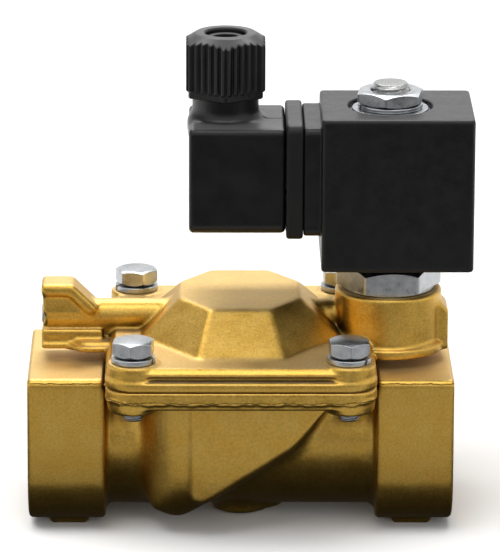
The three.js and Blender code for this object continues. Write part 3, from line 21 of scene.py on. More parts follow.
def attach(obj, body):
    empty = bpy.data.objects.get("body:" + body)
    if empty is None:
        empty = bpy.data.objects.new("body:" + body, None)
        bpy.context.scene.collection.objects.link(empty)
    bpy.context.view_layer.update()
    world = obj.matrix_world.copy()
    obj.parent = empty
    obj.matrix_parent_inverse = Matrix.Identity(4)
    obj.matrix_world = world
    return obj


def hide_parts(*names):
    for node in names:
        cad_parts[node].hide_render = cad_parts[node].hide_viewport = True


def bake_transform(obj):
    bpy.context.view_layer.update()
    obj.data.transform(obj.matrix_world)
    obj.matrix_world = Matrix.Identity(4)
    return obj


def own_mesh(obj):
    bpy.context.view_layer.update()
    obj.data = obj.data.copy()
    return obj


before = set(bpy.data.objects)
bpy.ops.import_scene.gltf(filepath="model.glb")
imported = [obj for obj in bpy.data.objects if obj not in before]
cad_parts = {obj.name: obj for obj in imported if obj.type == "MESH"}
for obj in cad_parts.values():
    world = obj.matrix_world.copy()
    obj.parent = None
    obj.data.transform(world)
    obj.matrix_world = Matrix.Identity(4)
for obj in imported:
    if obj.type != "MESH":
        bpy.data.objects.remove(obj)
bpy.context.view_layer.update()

LOG = logging.getLogger("solenoid_valve")
FRAME_SHIFT = -2.4  # from the valve's own X to the row frame's
PILOT_X = 38.7  # the axis of armature and coil
PLUG_Z = 92.8  # the axis of the plug and the coil's neck
DRILLING_Z = 53.7  # the axis of the drilled arm
PASSAGE = 12.5  # radius of the main waterway
FLANGE_CORNER = 7.4
BOLT_X, BOLT_Y = 27.6, 33.6
BOLT_PLACES = tuple((x, y) for x in (-BOLT_X, BOLT_X) for y in (-BOLT_Y, BOLT_Y))
Point = tuple[float, float]
Triple = tuple[float, float, float]
Shape = tuple[np.ndarray, list[list[int]]]  # points and faces
Value = Any  # a number, a colour or a socket


class Body(Enum):
    """The parts of the frame that move on their own."""

    VALVE = "valve"
    DISC = "valve_disc"
    PLUNGER = "pilot_plunger"
    COIL = "coil"
    PLUG = "plug"
    RING = "gland_washer"
    CAP = "gland_cap"


class Axis(Enum):
    """The direction a round piece is turned about."""

    X = 0
    Z = 2


# ---- Materials ----


def linear(hex_colour: str) -> tuple[float, float, float, float]:
    """A colour turned to linear light.

    Args:
        hex_colour: the sRGB colour, as #RRGGBB.

    Returns:
        Linear red, green, blue and alpha.
    """
    parts = [int(hex_colour[i : i + 2], 16) / 255 for i in (1, 3, 5)]
    red, green, blue = (c / 12.92 if c <= 0.04045 else ((c + 0.055) / 1.055) ** 2.4 for c in parts)
    return red, green, blue, 1.0


def blank(owner: bpy.types.Material | bpy.types.World) -> bpy.types.NodeTree:
    """The node tree, ready to be filled.

    Args:
        owner: the material or world.

    Returns:
        Its node tree, empty.
    """
    owner.use_nodes = True
    owner.node_tree.nodes.clear()
    return owner.node_tree


def per_mm(size: float) -> float:
    """Texture scale of a pattern whose features are this many millimetres across."""
    return 1000 / size


def put(tree: bpy.types.NodeTree, kind: str, inputs: dict[Any, Value], **settings: Any) -> bpy.types.Node:
    """Adds one shader node.

    Args:
        tree: the node tree it goes in.
        kind: the node's type name.
        inputs: what each input gets, by name or number: a value, or a socket to link from.
        settings: the node's own properties.

    Returns:
        The new node.
    """
    node = tree.nodes.new(kind)
    for key, value in settings.items():
        setattr(node, key, value)
    for key, value in inputs.items():
        if isinstance(value, bpy.types.NodeSocket):
            tree.links.new(value, node.inputs[key])
        else:
            node.inputs[key].default_value = value
    return node


@dataclass(frozen=True)
class Finish:
    """A procedural surface: two tones, grain, uneven roughness, relief, lightened edges (rubbing and a
    painted highlight), seams, painted light on tops and painted shade in hollows and underneath.

    Attributes:
        slot: what the material's name is made from.
        colour: the surface's main tone.
        shade: the tone of its mottles.
        metallic: 1 for metal.
        roughness: the lowest and highest roughness.
        grain_mm: size of the fine grain.
        mottle_mm: size of the broad mottles.
        relief_mm: height of the grain.
        waves_mm: height of the broad unevenness.
        edge_mm: radius over which edges look rounded.
        edge_rub_and_highlight: how far edges are lightened, partly for rubbing and partly as a painted
            highlight.
        rub_and_highlight_tone: the tone of rubbed edges, which is also their painted highlight and the
            painted light on tops.
        seams: heights of the parting lines.
        seam_mm: depth of the parting lines.
        turned: X of an upright axis, the radius inside which turning marks show, and their lowest height.
        dull_top: how much rougher the faces are that look up.
        painted_top_light: how far the faces that look up are lightened, as painted light on tops.
        painted_under_shade: how far the faces that look down go towards the dark tone, as painted shade
            underneath.
        speckle: how far the grain's pits darken.
        hollow_shade_mm: reach of the painted shade in the hollows, or 0.
        seam_and_shade: the tone of the parting lines and of the painted shade in hollows and underneath.
        specular: strength of the gloss on a plastic.
    """

    slot: str = "plain"
    colour: str = "#808080"
    shade: str = "#707070"
    metallic: float = 0.0
    roughness: tuple[float, float] = (0.4, 0.5)
    grain_mm: float = 0.5
    mottle_mm: float = 6.0
    relief_mm: float = 0.01
    waves_mm: float = 0.0
    edge_mm: float = 0.25
    edge_rub_and_highlight: float = 0.3
    rub_and_highlight_tone: str = "#FFFFFF"
    seams: tuple[float, ...] = ()
    seam_mm: float = 0.08
    turned: Triple | None = None
    dull_top: float = 0.0
    painted_top_light: float = 0.0
    painted_under_shade: float = 0.0
    speckle: float = 0.12
    hollow_shade_mm: float = 0.0
    seam_and_shade: str = "#2C1B04"
    specular: float = 0.5

    def material(self) -> bpy.types.Material:
        """The finish's material, made once."""
        found = bpy.data.materials.get(self.slot + "_look")
        if found:
            return found
        material = bpy.data.materials.new(self.slot + "_look")
        tree = blank(material)
        spot = put(tree, "ShaderNodeTexCoord", {}).outputs["Object"]
        grain = self.noise(tree, spot, self.grain_mm, 6.0)
        mottle = self.noise(tree, spot, self.mottle_mm, 5.0)
        edge, soft_normal = self.edges(tree, grain)
        blend = self.ranged(tree, mottle, 0.35, 0.65, 0.0, 1.0)
        tone = self.mixed(tree, blend, linear(self.shade), linear(self.colour))
        fine = self.ranged(tree, grain, 0.35, 0.65, self.speckle, 0.0)
        tone = self.mixed(tree, fine, tone, (0.0, 0.0, 0.0, 1.0))
        seam = self.seam_mask(tree, spot)
        if seam is not None:
            tone = self.mixed(tree, self.math(tree, "MULTIPLY", seam, 0.75), tone, linear(self.seam_and_shade))
        # Painted shade in the hollows, from ambient occlusion.
        if self.hollow_shade_mm:
            tone = self.mixed(tree, self.hollow_shade_mask(tree), tone, linear(self.seam_and_shade))
        # Edges are lightened: partly rubbing, partly a painted highlight.
        tone = self.mixed(tree, self.math(tree, "MULTIPLY", edge, self.edge_rub_and_highlight), tone, linear(self.rub_and_highlight_tone))
        rough = self.ranged(tree, mottle, 0.3, 0.7, *self.roughness)
        rough = self.math(tree, "ADD", rough, self.ranged(tree, grain, 0.3, 0.7, -0.04, 0.05))
        rough = self.math(tree, "SUBTRACT", rough, self.math(tree, "MULTIPLY", edge, 0.12))
        if self.dull_top or self.painted_top_light:
            facing = put(tree, "ShaderNodeNewGeometry", {}).outputs["Normal"]
            upward = put(tree, "ShaderNodeSeparateXYZ", {0: facing}).outputs[2]
            # Painted light on the faces that look up.
            tone = self.mixed(tree, self.ranged(tree, upward, 0.8, 0.98, 0.0, self.painted_top_light), tone,
                              linear(self.rub_and_highlight_tone))
            # Painted shade on the faces that look down.
            tone = self.mixed(tree, self.ranged(tree, upward, -0.1, -0.6, 0.0, self.painted_under_shade), tone,
                              linear(self.seam_and_shade))
            rough = self.math(tree, "ADD", rough, self.ranged(tree, upward, 0.85, 0.99, 0.0, self.dull_top))
        normal = self.relief(tree, spot, grain, mottle, seam, soft_normal)
        shader = put(tree, "ShaderNodeBsdfPrincipled", {
            "Base Color": tone, "Metallic": self.metallic, "Roughness": rough, "Normal": normal,
            "Specular IOR Level": self.specular,
        })
        put(tree, "ShaderNodeOutputMaterial", {"Surface": shader.outputs[0]})
        return material

    @staticmethod
    def noise(tree: bpy.types.NodeTree, spot: Value, size: float, detail: float) -> Value:
        """Fractal noise with features of a size in millimetres."""
        inputs = {"Vector": spot, "Scale": per_mm(size), "Detail": detail, "Roughness": 0.62}
        return put(tree, "ShaderNodeTexNoise", inputs).outputs[0]

    @staticmethod
    def ranged(tree: bpy.types.NodeTree, value: Value, *limits: float) -> Value:
        """A value taken from one range to another: from low, from high, to low, to high."""
        names = ("From Min", "From Max", "To Min", "To Max")
        return put(tree, "ShaderNodeMapRange", {"Value": value, **dict(zip(names, limits))}).outputs[0]

    @staticmethod
    def mixed(tree: bpy.types.NodeTree, factor: Value, first: Value, second: Value) -> Value:
        """Two colours mixed by a factor."""
        return put(tree, "ShaderNodeMix", {0: factor, 6: first, 7: second}, data_type="RGBA").outputs[2]

    @staticmethod
    def math(tree: bpy.types.NodeTree, operation: str, first: Value, second: Value = 0.0) -> Value:
        """One sum on two values."""
        return put(tree, "ShaderNodeMath", {0: first, 1: second}, operation=operation).outputs[0]

    def edges(self, tree: bpy.types.NodeTree, grain: Value) -> tuple[Value, Value]:
        """Mask of the piece's edges, broken up by the grain, and the normal that rounds them.

        Args:
            tree: the material's node tree.
            grain: the fine noise.

        Returns:
            The mask, and the normal.
        """
        soft = put(tree, "ShaderNodeBevel", {"Radius": self.edge_mm / 1000}, samples=6).outputs[0]
        true = put(tree, "ShaderNodeNewGeometry", {}).outputs["Normal"]
        along = put(tree, "ShaderNodeVectorMath", {0: soft, 1: true}, operation="DOT_PRODUCT").outputs[1]
        mask = self.ranged(tree, along, 0.998, 0.93, 0.0, 1.0)
        return self.math(tree, "MULTIPLY", mask, self.ranged(tree, grain, 0.35, 0.6, 0.3, 1.0)), soft

    def hollow_shade_mask(self, tree: bpy.types.NodeTree) -> Value:
        """Mask of the narrow hollows, where shade is painted in.

        Args:
            tree: the material's node tree.

        Returns:
            The mask.
        """
        open_sky = put(tree, "ShaderNodeAmbientOcclusion", {"Distance": self.hollow_shade_mm / 1000},
                       samples=6, only_local=True).outputs["AO"]
        return self.ranged(tree, open_sky, 0.72, 0.4, 0.0, 0.94)

    def seam_mask(self, tree: bpy.types.NodeTree, spot: Value) -> Value:
        """Mask of the ragged parting lines.

        Args:
            tree: the material's node tree.
            spot: the place on the piece.

        Returns:
            The mask, or None without lines.
        """
        if not self.seams:
            return None
        height = put(tree, "ShaderNodeSeparateXYZ", {0: spot}).outputs[2]
        wander = self.ranged(tree, self.noise(tree, spot, 3.0, 6.0), 0.0, 1.0, -0.0009, 0.0009)
        height = self.math(tree, "ADD", height, wander)
        total = None
        for level in self.seams:
            away = self.math(tree, "ABSOLUTE", self.math(tree, "SUBTRACT", height, level / 1000))
            mask = self.ranged(tree, away, 0.00004, 0.0002, 1.0, 0.0)
            total = mask if total is None else self.math(tree, "MAXIMUM", total, mask)
        return total

    def relief(self, tree: bpy.types.NodeTree, spot: Value, *parts: Value) -> Value:
        """The normal with grain, broad waves, seams and turning marks pressed into it.

        Args:
            tree: the material's node tree.
            spot: the place on the piece.
            parts: grain, mottle, seam mask or None, and normal.

        Returns:
            The new normal.
        """
        grain, mottle, seam, normal = parts
        height = self.math(tree, "MULTIPLY", grain, self.relief_mm / 1000)
        height = self.math(tree, "ADD", height, self.math(tree, "MULTIPLY", mottle, self.waves_mm / 1000))
        if seam is not None:
            groove = self.math(tree, "MULTIPLY", seam, self.seam_mm / 1000)
            height = self.math(tree, "SUBTRACT", height, groove)
        if self.turned:
            axis, radius, lowest = self.turned
            flat = put(tree, "ShaderNodeVectorMath", {0: spot, 1: (1.0, 1.0, 0.0)}, operation="MULTIPLY")
            centre = ((axis + FRAME_SHIFT) / 1000, 0.0, 0.0)
            out = put(tree, "ShaderNodeVectorMath", {0: flat.outputs[0], 1: centre}, operation="DISTANCE")
            up = put(tree, "ShaderNodeSeparateXYZ", {0: spot}).outputs[2]
            inside = self.math(tree, "LESS_THAN", out.outputs[1], radius / 1000)
            inside = self.math(tree, "MULTIPLY", inside, self.math(tree, "GREATER_THAN", up, lowest / 1000))
            squeezed = put(tree, "ShaderNodeVectorMath", {0: spot, 1: (0.02, 0.02, 1.0)},
                           operation="MULTIPLY")
            marks = self.noise(tree, squeezed.outputs[0], 0.5, 4.0)
            marks = self.math(tree, "MULTIPLY", marks, self.math(tree, "MULTIPLY", inside, 0.00005))
            height = self.math(tree, "ADD", height, marks)
        return put(tree, "ShaderNodeBump", {
            "Strength": 1.0, "Distance": 1.0, "Height": height, "Normal": normal,
        }).outputs[0]


@dataclass(frozen=True)
class ForgedBrass(Finish):
    """Satin, shot-blasted hot stamping."""

    # Hot-stamped brass, shot-blasted: a deep warm gold with a satin, grainy gloss,
    # paler on edges (rubbing and a painted highlight) and on tops (painted light), with painted brown shade
    # in hollows and underneath.
    slot: str = "forged_brass"
    colour: str = "#E6BC5E"
    shade: str = "#DCAE4E"
    metallic: float = 1.0
    roughness: tuple[float, float] = (0.33, 0.4)
    grain_mm: float = 0.6
    mottle_mm: float = 6.0
    relief_mm: float = 0.05
    waves_mm: float = 0.05
    edge_mm: float = 0.45
    edge_rub_and_highlight: float = 0.75
    rub_and_highlight_tone: str = "#FFF0C8"
    dull_top: float = 0.2
    painted_top_light: float = 0.28
    painted_under_shade: float = 0.4
    speckle: float = 0.26
    hollow_shade_mm: float = 4.5
    seams: tuple[float, ...] = (41.55,)
    turned: Triple | None = (PILOT_X, 14.4, 48.2)


@dataclass(frozen=True)
class MachinedBrass(Finish):
    """Brass as it comes off a lathe."""

    # Free-cutting brass, turned: a clear yellow, brighter and smoother than
    # the stamping.
    slot: str = "machined_brass"
    colour: str = "#E8C97C"
    shade: str = "#DDB968"
    metallic: float = 1.0
    roughness: tuple[float, float] = (0.2, 0.32)
    grain_mm: float = 0.4
    relief_mm: float = 0.01
    edge_mm: float = 0.2


@dataclass(frozen=True)
class ZincSteel(Finish):
    """Bright zinc on steel."""

    # Blue-passivated zinc on steel: a cool light grey with faint cloudy patches.
    slot: str = "zinc_steel"
    colour: str = "#C9CBCC"
    shade: str = "#AEB2B6"
    metallic: float = 1.0
    roughness: tuple[float, float] = (0.26, 0.4)
    grain_mm: float = 0.35
    mottle_mm: float = 2.5
    relief_mm: float = 0.02
    waves_mm: float = 0.02
    edge_mm: float = 0.2
    edge_rub_and_highlight: float = 0.5


@dataclass(frozen=True)
class Stainless(Finish):
    """Drawn or turned stainless steel."""

    # Stainless steel, drawn or turned: an even mid grey with sharp gloss.
    slot: str = "stainless_steel"
    colour: str = "#B9BAB8"
    shade: str = "#A5A6A4"
    metallic: float = 1.0
    roughness: tuple[float, float] = (0.18, 0.3)
    grain_mm: float = 0.3
    relief_mm: float = 0.008


@dataclass(frozen=True)
class Copper(Finish):
    """Varnished copper."""

    # Enamelled copper wire: a warm reddish gloss in fine bands.
    slot: str = "copper"
    colour: str = "#C77A4C"
    shade: str = "#A85C34"
    metallic: float = 1.0
    roughness: tuple[float, float] = (0.22, 0.36)
    mottle_mm: float = 3.0


@dataclass(frozen=True)
class CoilPlastic(Finish):
    """Dark thermoset around the winding, with a parting line."""

    # Filled epoxy, moulded: nearly black, a soft broad gloss, slightly paler on top with painted light,
    # its edges greyer, partly rubbed and partly a painted highlight.
    slot: str = "coil_plastic"
    colour: str = "#0E0E0F"
    shade: str = "#0A0A0A"
    roughness: tuple[float, float] = (0.32, 0.42)
    grain_mm: float = 0.45
    mottle_mm: float = 4.0
    relief_mm: float = 0.02
    waves_mm: float = 0.03
    edge_mm: float = 0.3
    edge_rub_and_highlight: float = 0.12
    rub_and_highlight_tone: str = "#9A9A9A"
    seams: tuple[float, ...] = (96.6,)
    seam_mm: float = 0.015
    seam_and_shade: str = "#030303"
    painted_top_light: float = 0.1
    specular: float = 0.36


@dataclass(frozen=True)
class PlugPlastic(Finish):
    """Dark moulded polyamide."""

    # Glass-filled polyamide, moulded: black, a little glossier than the coil,
    # its top paler with painted light and its edges greyer, partly rubbed and partly a painted highlight.
    slot: str = "plug_plastic"
    colour: str = "#0B0B0C"
    shade: str = "#080808"
    roughness: tuple[float, float] = (0.28, 0.38)
    grain_mm: float = 0.3
    relief_mm: float = 0.012
    waves_mm: float = 0.02
    edge_rub_and_highlight: float = 0.12
    rub_and_highlight_tone: str = "#8A8A8A"
    seam_and_shade: str = "#020202"
    painted_top_light: float = 0.25
    specular: float = 0.4


@dataclass(frozen=True)
class PalePlastic(Finish):
    """Pale insulating plastic."""

    # Natural PBT, moulded: matt warm off-white.
    slot: str = "pale_plastic"
    colour: str = "#B9B6AB"
    shade: str = "#A9A699"
    roughness: tuple[float, float] = (0.45, 0.6)
    edge_rub_and_highlight: float = 0.1


@dataclass(frozen=True)
class Rubber(Finish):
    """Black rubber."""

    # Nitrile rubber, pressed: a dull black with no sharp gloss, a little painted light on its top and
    # slightly lightened edges.
    slot: str = "rubber"
    colour: str = "#0A0A0A"
    shade: str = "#070707"
    roughness: tuple[float, float] = (0.45, 0.6)
    grain_mm: float = 0.3
    relief_mm: float = 0.02
    edge_rub_and_highlight: float = 0.05
    seam_and_shade: str = "#020202"
    painted_top_light: float = 0.07
    specular: float = 0.34


# ---- Putting pieces in the frame ----


@dataclass(frozen=True)
class Role:
    """What a piece is: the body it rides on, its finish and the CAD nodes that it stands for."""

    body: Body
    finish: Finish
    nodes: tuple[str, ...]


def place(points: np.ndarray) -> np.ndarray:
    """Points in the valve's own millimetres as row frame metres."""
    return (np.asarray(points, float) + (FRAME_SHIFT, 0.0, 0.0)) / 1000


def present(obj: bpy.types.Object, role: Role) -> bpy.types.Object:
    """Gives a piece its material and its place in the frame.

    Args:
        obj: the piece.
        role: what the piece is.

    Returns:
        The same piece.
    """
    obj.data.materials.clear()
    obj.data.materials.append(role.finish.material())
    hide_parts(*role.nodes)
    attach(obj, role.body.value)
    LOG.info("%s on %s", obj.name, role.body.value)
    return obj


def mesh_object(name: str, points: np.ndarray, faces: Iterable[Sequence[int]]) -> bpy.types.Object:
    """A mesh object.

    Args:
        name: the object's name.
        points: its points, in the valve's own millimetres.
        faces: the corners of each face.

    Returns:
        The object, in the scene.
    """
    mesh = bpy.data.meshes.new(name)
    mesh.from_pydata(place(points).tolist(), [], [list(face) for face in faces])
    obj = bpy.data.objects.new(name, mesh)
    bpy.context.scene.collection.objects.link(obj)
    return obj


def crisp(name: str, *parts: Shape, sharp: float = 42) -> bpy.types.Object:
    """A hard-edged piece from lofted parts.

    Args:
        name: the piece's name.
        parts: points and faces of each closed part.
        sharp: degrees between two faces above which their edge stays sharp.

    Returns:
        The mesh object, with face-weighted normals.
    """
    points, faces, used = [], [], 0
    for part_points, part_faces in parts:
        points.append(part_points)
        faces += [[corner + used for corner in face] for face in part_faces]
        used += len(part_points)
    obj = mesh_object(name, np.concatenate(points), faces)
    work = bmesh.new()
    work.from_mesh(obj.data)
    bmesh.ops.remove_doubles(work, verts=work.verts, dist=1e-6)
    bmesh.ops.recalc_face_normals(work, faces=work.faces)
    work.to_mesh(obj.data)
    work.free()
    obj.data.shade_smooth()
    obj.data.set_sharp_from_angle(angle=math.radians(sharp))
    weighted = obj.modifiers.new("weighted", "WEIGHTED_NORMAL")
    weighted.keep_sharp = True
    return obj


def keep_node(name: str, finish: Finish, bevel: float = 0.15) -> None:
    """Shows a CAD node as it is, with a finish and slightly rounded edges.

    Args:
        name: the node's name.
        finish: its finish.
        bevel: width of the rounding, or 0.
    """
    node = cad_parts[name]
    node.data.materials.clear()
    node.data.materials.append(finish.material())
    LOG.info("%s as in the CAD", name)
    if bevel:
        rounding = node.modifiers.new("rounding", "BEVEL")
        rounding.width = bevel / 1000
        rounding.segments = 2
        rounding.limit_method = "ANGLE"
        rounding.angle_limit = math.radians(50)


# ---- Lofted shapes ----


def rounded(points: Sequence[Point], radius: float, closed: bool = True, steps: int = 4) -> list[Point]:
    """A straight-sided outline with its corners rounded.

    Args:
        points: the outline's corners.
        radius: how far a corner's rounding reaches along its sides.
        closed: whether the last corner joins the first.
        steps: sides of each rounding.

    Returns:
        The outline's new points.
    """
    corners = [np.array(point, float) for point in points]
    result: list[Point] = []
    for i, corner in enumerate(corners):
        if not closed and i in (0, len(corners) - 1):
            result.append(tuple(corner))
            continue
        back, on = corners[i - 1] - corner, corners[(i + 1) % len(corners)] - corner
        reach = min(radius, 0.45 * np.linalg.norm(back), 0.45 * np.linalg.norm(on))
        first, last = (corner + way * reach / np.linalg.norm(way) for way in (back, on))
        for t in np.linspace(0, 1, steps + 1):
            result.append(tuple((1 - t) ** 2 * first + 2 * t * (1 - t) * corner + t * t * last))
    return result


def loft(rows: np.ndarray, wrap: bool = False, caps: bool = False) -> Shape:
    """Faces between rows of points that each close on themselves.

    Args:
        rows: an array of rows, points and coordinates.
        wrap: whether the last row joins the first.
        caps: whether the first and last rows are closed with a face.

    Returns:
        The points and the faces.
    """
    count, around = rows.shape[:2]
    index = np.arange(count * around).reshape(count, around)
    low = index if wrap else index[:-1]
    high = np.roll(index, -1, 0) if wrap else index[1:]
    faces = np.stack([low, np.roll(low, -1, 1), np.roll(high, -1, 1), high], -1).reshape(-1, 4).tolist()
    if caps:
        faces += [index[0].tolist(), index[-1][::-1].tolist()]
    return rows.reshape(-1, 3), faces


def spun(radius: np.ndarray, height: np.ndarray, angles: np.ndarray, centre: Triple,
         axis: Axis = Axis.Z) -> np.ndarray:
    """Rows of points about an axis.

    Args:
        radius: radii per row and angle.
        height: heights per row and angle.
        angles: the angles.
        centre: a point on the axis.
        axis: the axis's direction.

    Returns:
        An array of rows, points and coordinates.
    """
    across, other = radius * np.cos(angles), radius * np.sin(angles)
    along = np.broadcast_to(height, across.shape)
    order = (across, other, along) if axis is Axis.Z else (along, across, other)
    return np.stack(order, -1) + np.array(centre)


def turned(profile: Sequence[Point], centre: Triple = (0, 0, 0), axis: Axis = Axis.Z,
           edge: float = 0.25, sides: int = 96) -> Shape:
    """A turned solid, which is a ring if its profile doesn't start on the axis.

    Args:
        profile: radius and height of each corner.
        centre: a point on the axis.
        axis: the axis's direction.
        edge: reach of the rounding at each corner.
        sides: sides around.

    Returns:
        The points and the faces.
    """
    is_ring = profile[0][0] > 0
    outline = np.array(rounded(profile, edge, closed=is_ring))
    angles = np.linspace(0, 2 * math.pi, sides, endpoint=False)[None, :]
    return loft(spun(outline[:, :1], outline[:, 1:], angles, centre, axis), wrap=is_ring)


def ring(inner: float, outer: float, low: float, high: float, centre: Triple = (0, 0, 0),
         axis: Axis = Axis.Z, edge: float = 0.2) -> Shape:
    """A flat ring.

    Args:
        inner: radius of its hole.
        outer: its outer radius.
        low: where it starts along the axis.
        high: where it ends.
        centre: a point on the axis.
        axis: the axis's direction.
        edge: reach of the rounding at its edges.

    Returns:
        The points and the faces.
    """
    return turned([(inner, low), (outer, low), (outer, high), (inner, high)], centre, axis, edge)


def hexed(flats: float, low: float, high: float, turn: float, centre: Triple,
          hole: float = 0.0, top: float = 0.5, foot: float = 0.0) -> Shape:
    """A hexagonal piece whose corners are turned off.

    Args:
        flats: size across the flats.
        low: height of its underside.
        high: height of its top.
        turn: degrees from a corner that faces the front.
        centre: a point on its axis.
        hole: radius of its hole, or 0.
        top: slope of the turned-off top.
        foot: slope of the turned-off underside.

    Returns:
        The points and the faces.
    """
    angles = np.linspace(0, 2 * math.pi, 180, endpoint=False)
    normals = np.radians(turn - 60 + 60 * np.arange(6))
    pull = np.clip(np.cos(angles[:, None] - normals), 0, 1) ** 90
    corner = flats / 2 / pull.sum(1) ** (1 / 90)
    flat = np.full_like(angles, flats / 2 * 0.955)
    drop, lift = (corner - flat) * top, (corner - flat) * foot
    lip = flats * 0.012
    rows = [(flat - lip, low), (flat, low + lip * foot), (corner, low + lift), (corner, low + lift + lip),
            (corner, high - drop - lip), (corner, high - drop), (flat, high - lip * top),
            (flat - lip, high)]
    inner = [(np.full_like(angles, hole + 0.35), high),
             (np.full_like(angles, hole), high - 0.35 * bool(hole)),
             (np.full_like(angles, hole), low)]
    rows += inner if hole else [(np.zeros_like(angles), high)]
    rows = rows if hole else [(np.zeros_like(angles), low), *rows]
    radii = np.stack([row[0] for row in rows])
    heights = np.stack([np.broadcast_to(row[1], angles.shape) for row in rows])
    return loft(spun(radii, heights, angles[None, :], centre), wrap=bool(hole))


def threaded(core: float, crest: float, pitch: float, low: float, high: float,
             centre: Triple, tip: float = 0.8) -> Shape:
    """An upright threaded rod whose ends are chamfered.

    Args:
        core: radius at the thread's foot.
        crest: radius at its crest.
        pitch: height of one turn.
        low: height of the lower end.
        high: height of the upper end.
        centre: a point on the axis.
        tip: size of the chamfers.

    Returns:
        The points and the faces.
    """
    heights = np.linspace(low, high, max(8, int((high - low) / pitch * 9)))[:, None]
    angles = np.linspace(0, 2 * math.pi, 72, endpoint=False)[None, :]
    wave = np.abs(((heights / pitch - angles / (2 * math.pi)) % 1) * 2 - 1)
    radii = core + (crest - core) * np.clip(wave * 1.25 - 0.1, 0, 1)
    end = np.minimum(heights - low, high - heights)
    radii = np.minimum(radii, crest - np.clip(tip - end, 0, tip))
    rows = spun(radii, heights, angles, centre)
    return loft(rows, caps=True)


def helix(radius: float, wire: float, low: float, high: float, turns: float,
          centre: Triple) -> Shape:
    """A round-wire spring whose end coils lie flat.

    Args:
        radius: radius of the wire's middle line.
        wire: radius of the wire.
        low: height of the lower end.
        high: height of the upper end.
        turns: number of coils.
        centre: a point on the axis.

    Returns:
        The points and the faces.
    """
    share = np.linspace(0, 1, int(turns * 40))
    angle = 2 * math.pi * turns * share
    rise = low + wire + (high - low - 2 * wire) * share * share * (3 - 2 * share)
    path = np.stack([radius * np.cos(angle), radius * np.sin(angle), rise], -1)
    along = np.gradient(path, axis=0)
    along /= np.linalg.norm(along, axis=1, keepdims=True)
    out = np.stack([np.cos(angle), np.sin(angle), np.zeros_like(angle)], -1)
    up = np.cross(along, out)
    around = np.linspace(0, 2 * math.pi, 12, endpoint=False)
    rows = path[:, None] + wire * (
        np.cos(around)[None, :, None] * out[:, None] + np.sin(around)[None, :, None] * up[:, None])
    return loft(rows + np.array(centre), caps=True)


def split_washer(inner: float, outer: float, low: float, high: float, split: float,
                 centre: Triple) -> Shape:
    """A spring washer with a slanting split.

    Args:
        inner: radius of its hole.
        outer: its outer radius.
        low: height of its underside.
        high: height of its top.
        split: degrees from X to the split.
        centre: a point on the axis.

    Returns:
        The points and the faces.
    """
    section = np.array(rounded([(inner, low), (outer, low), (outer, high), (inner, high)], 0.25))
    gap = 0.45 / (inner + outer) * 2
    sweep = np.linspace(gap, 2 * math.pi - gap, 90)[:, None] + math.radians(split)
    slant = (section[:, 1] - (low + high) / 2) * math.tan(math.radians(24)) / section[:, 0]
    rows = spun(section[None, :, 0], section[None, :, 1], sweep + slant[None, :], centre)
    return loft(rows, caps=True)


# ---- Fields: solids as signed distances, for castings and mouldings ----


def blended(first: np.ndarray, second: np.ndarray, reach: float = 0.0) -> np.ndarray:
    """Two distance fields joined.

    Args:
        first: one field.
        second: the other.
        reach: about how wide the fillet between them is.

    Returns:
        The joined field.
    """
    if reach <= 0:
        return np.minimum(first, second)
    share = np.clip(reach - np.abs(first - second), 0, None) / reach
    return np.minimum(first, second) - share * share * reach / 4


def shared(first: np.ndarray, second: np.ndarray, reach: float = 0.0) -> np.ndarray:
    """What two fields have in common, with the edge between them rounded."""
    return -blended(-first, -second, reach)


def less(first: np.ndarray, second: np.ndarray, reach: float = 0.0) -> np.ndarray:
    """The first field with the second cut out of it."""
    return shared(first, -second, reach)


def rectangle(u: np.ndarray, v: np.ndarray, half_u: float, half_v: float, radius: Value) -> np.ndarray:
    """A centred rectangle with rounded corners.

    Args:
        u: distance across.
        v: distance up.
        half_u: half of its width.
        half_v: half of its height.
        radius: its corners' radius, which may differ from place to place.

    Returns:
        The rectangle's field.
    """
    out_u, out_v = np.abs(u) - half_u + radius, np.abs(v) - half_v + radius
    corner = np.hypot(np.clip(out_u, 0, None), np.clip(out_v, 0, None))
    return corner + np.minimum(np.maximum(out_u, out_v), 0) - radius


def outline(u: np.ndarray, v: np.ndarray, points: Sequence[Point]) -> np.ndarray:
    """A straight-sided outline of any form.

    Args:
        u: distance across.
        v: distance up.
        points: its corners.

    Returns:
        The outline's field.
    """
    nearest = (u - points[0][0]) ** 2 + (v - points[0][1]) ** 2
    sign = np.ones_like(nearest)
    for (u0, v0), (u1, v1) in zip(points, [*points[1:], points[0]]):
        side_u, side_v = u1 - u0, v1 - v0
        from_u, from_v = u - u0, v - v0
        along = np.clip((from_u * side_u + from_v * side_v) / (side_u**2 + side_v**2), 0, 1)
        nearest = np.minimum(nearest, (from_u - side_u * along) ** 2 + (from_v - side_v * along) ** 2)
        above, below, left = v >= v0, v < v1, side_u * from_v > side_v * from_u
        sign = np.where((above & below & left) | (~above & ~below & ~left), -sign, sign)
    return sign * np.sqrt(nearest)


def pushed(section: np.ndarray, along: np.ndarray, low: float, high: float,
           edge: float = 0.0) -> np.ndarray:
    """A section pushed along a direction.

    Args:
        section: the section's field.
        along: distance in that direction.
        low: where the push starts.
        high: where it ends.
        edge: radius of the edges at both ends.

    Returns:
        The solid's field.
    """
    end = np.abs(along - (low + high) / 2) - (high - low) / 2
    inner, outer = section + edge, end + edge
    corner = np.hypot(np.clip(inner, 0, None), np.clip(outer, 0, None))
    return corner + np.minimum(np.maximum(inner, outer), 0) - edge


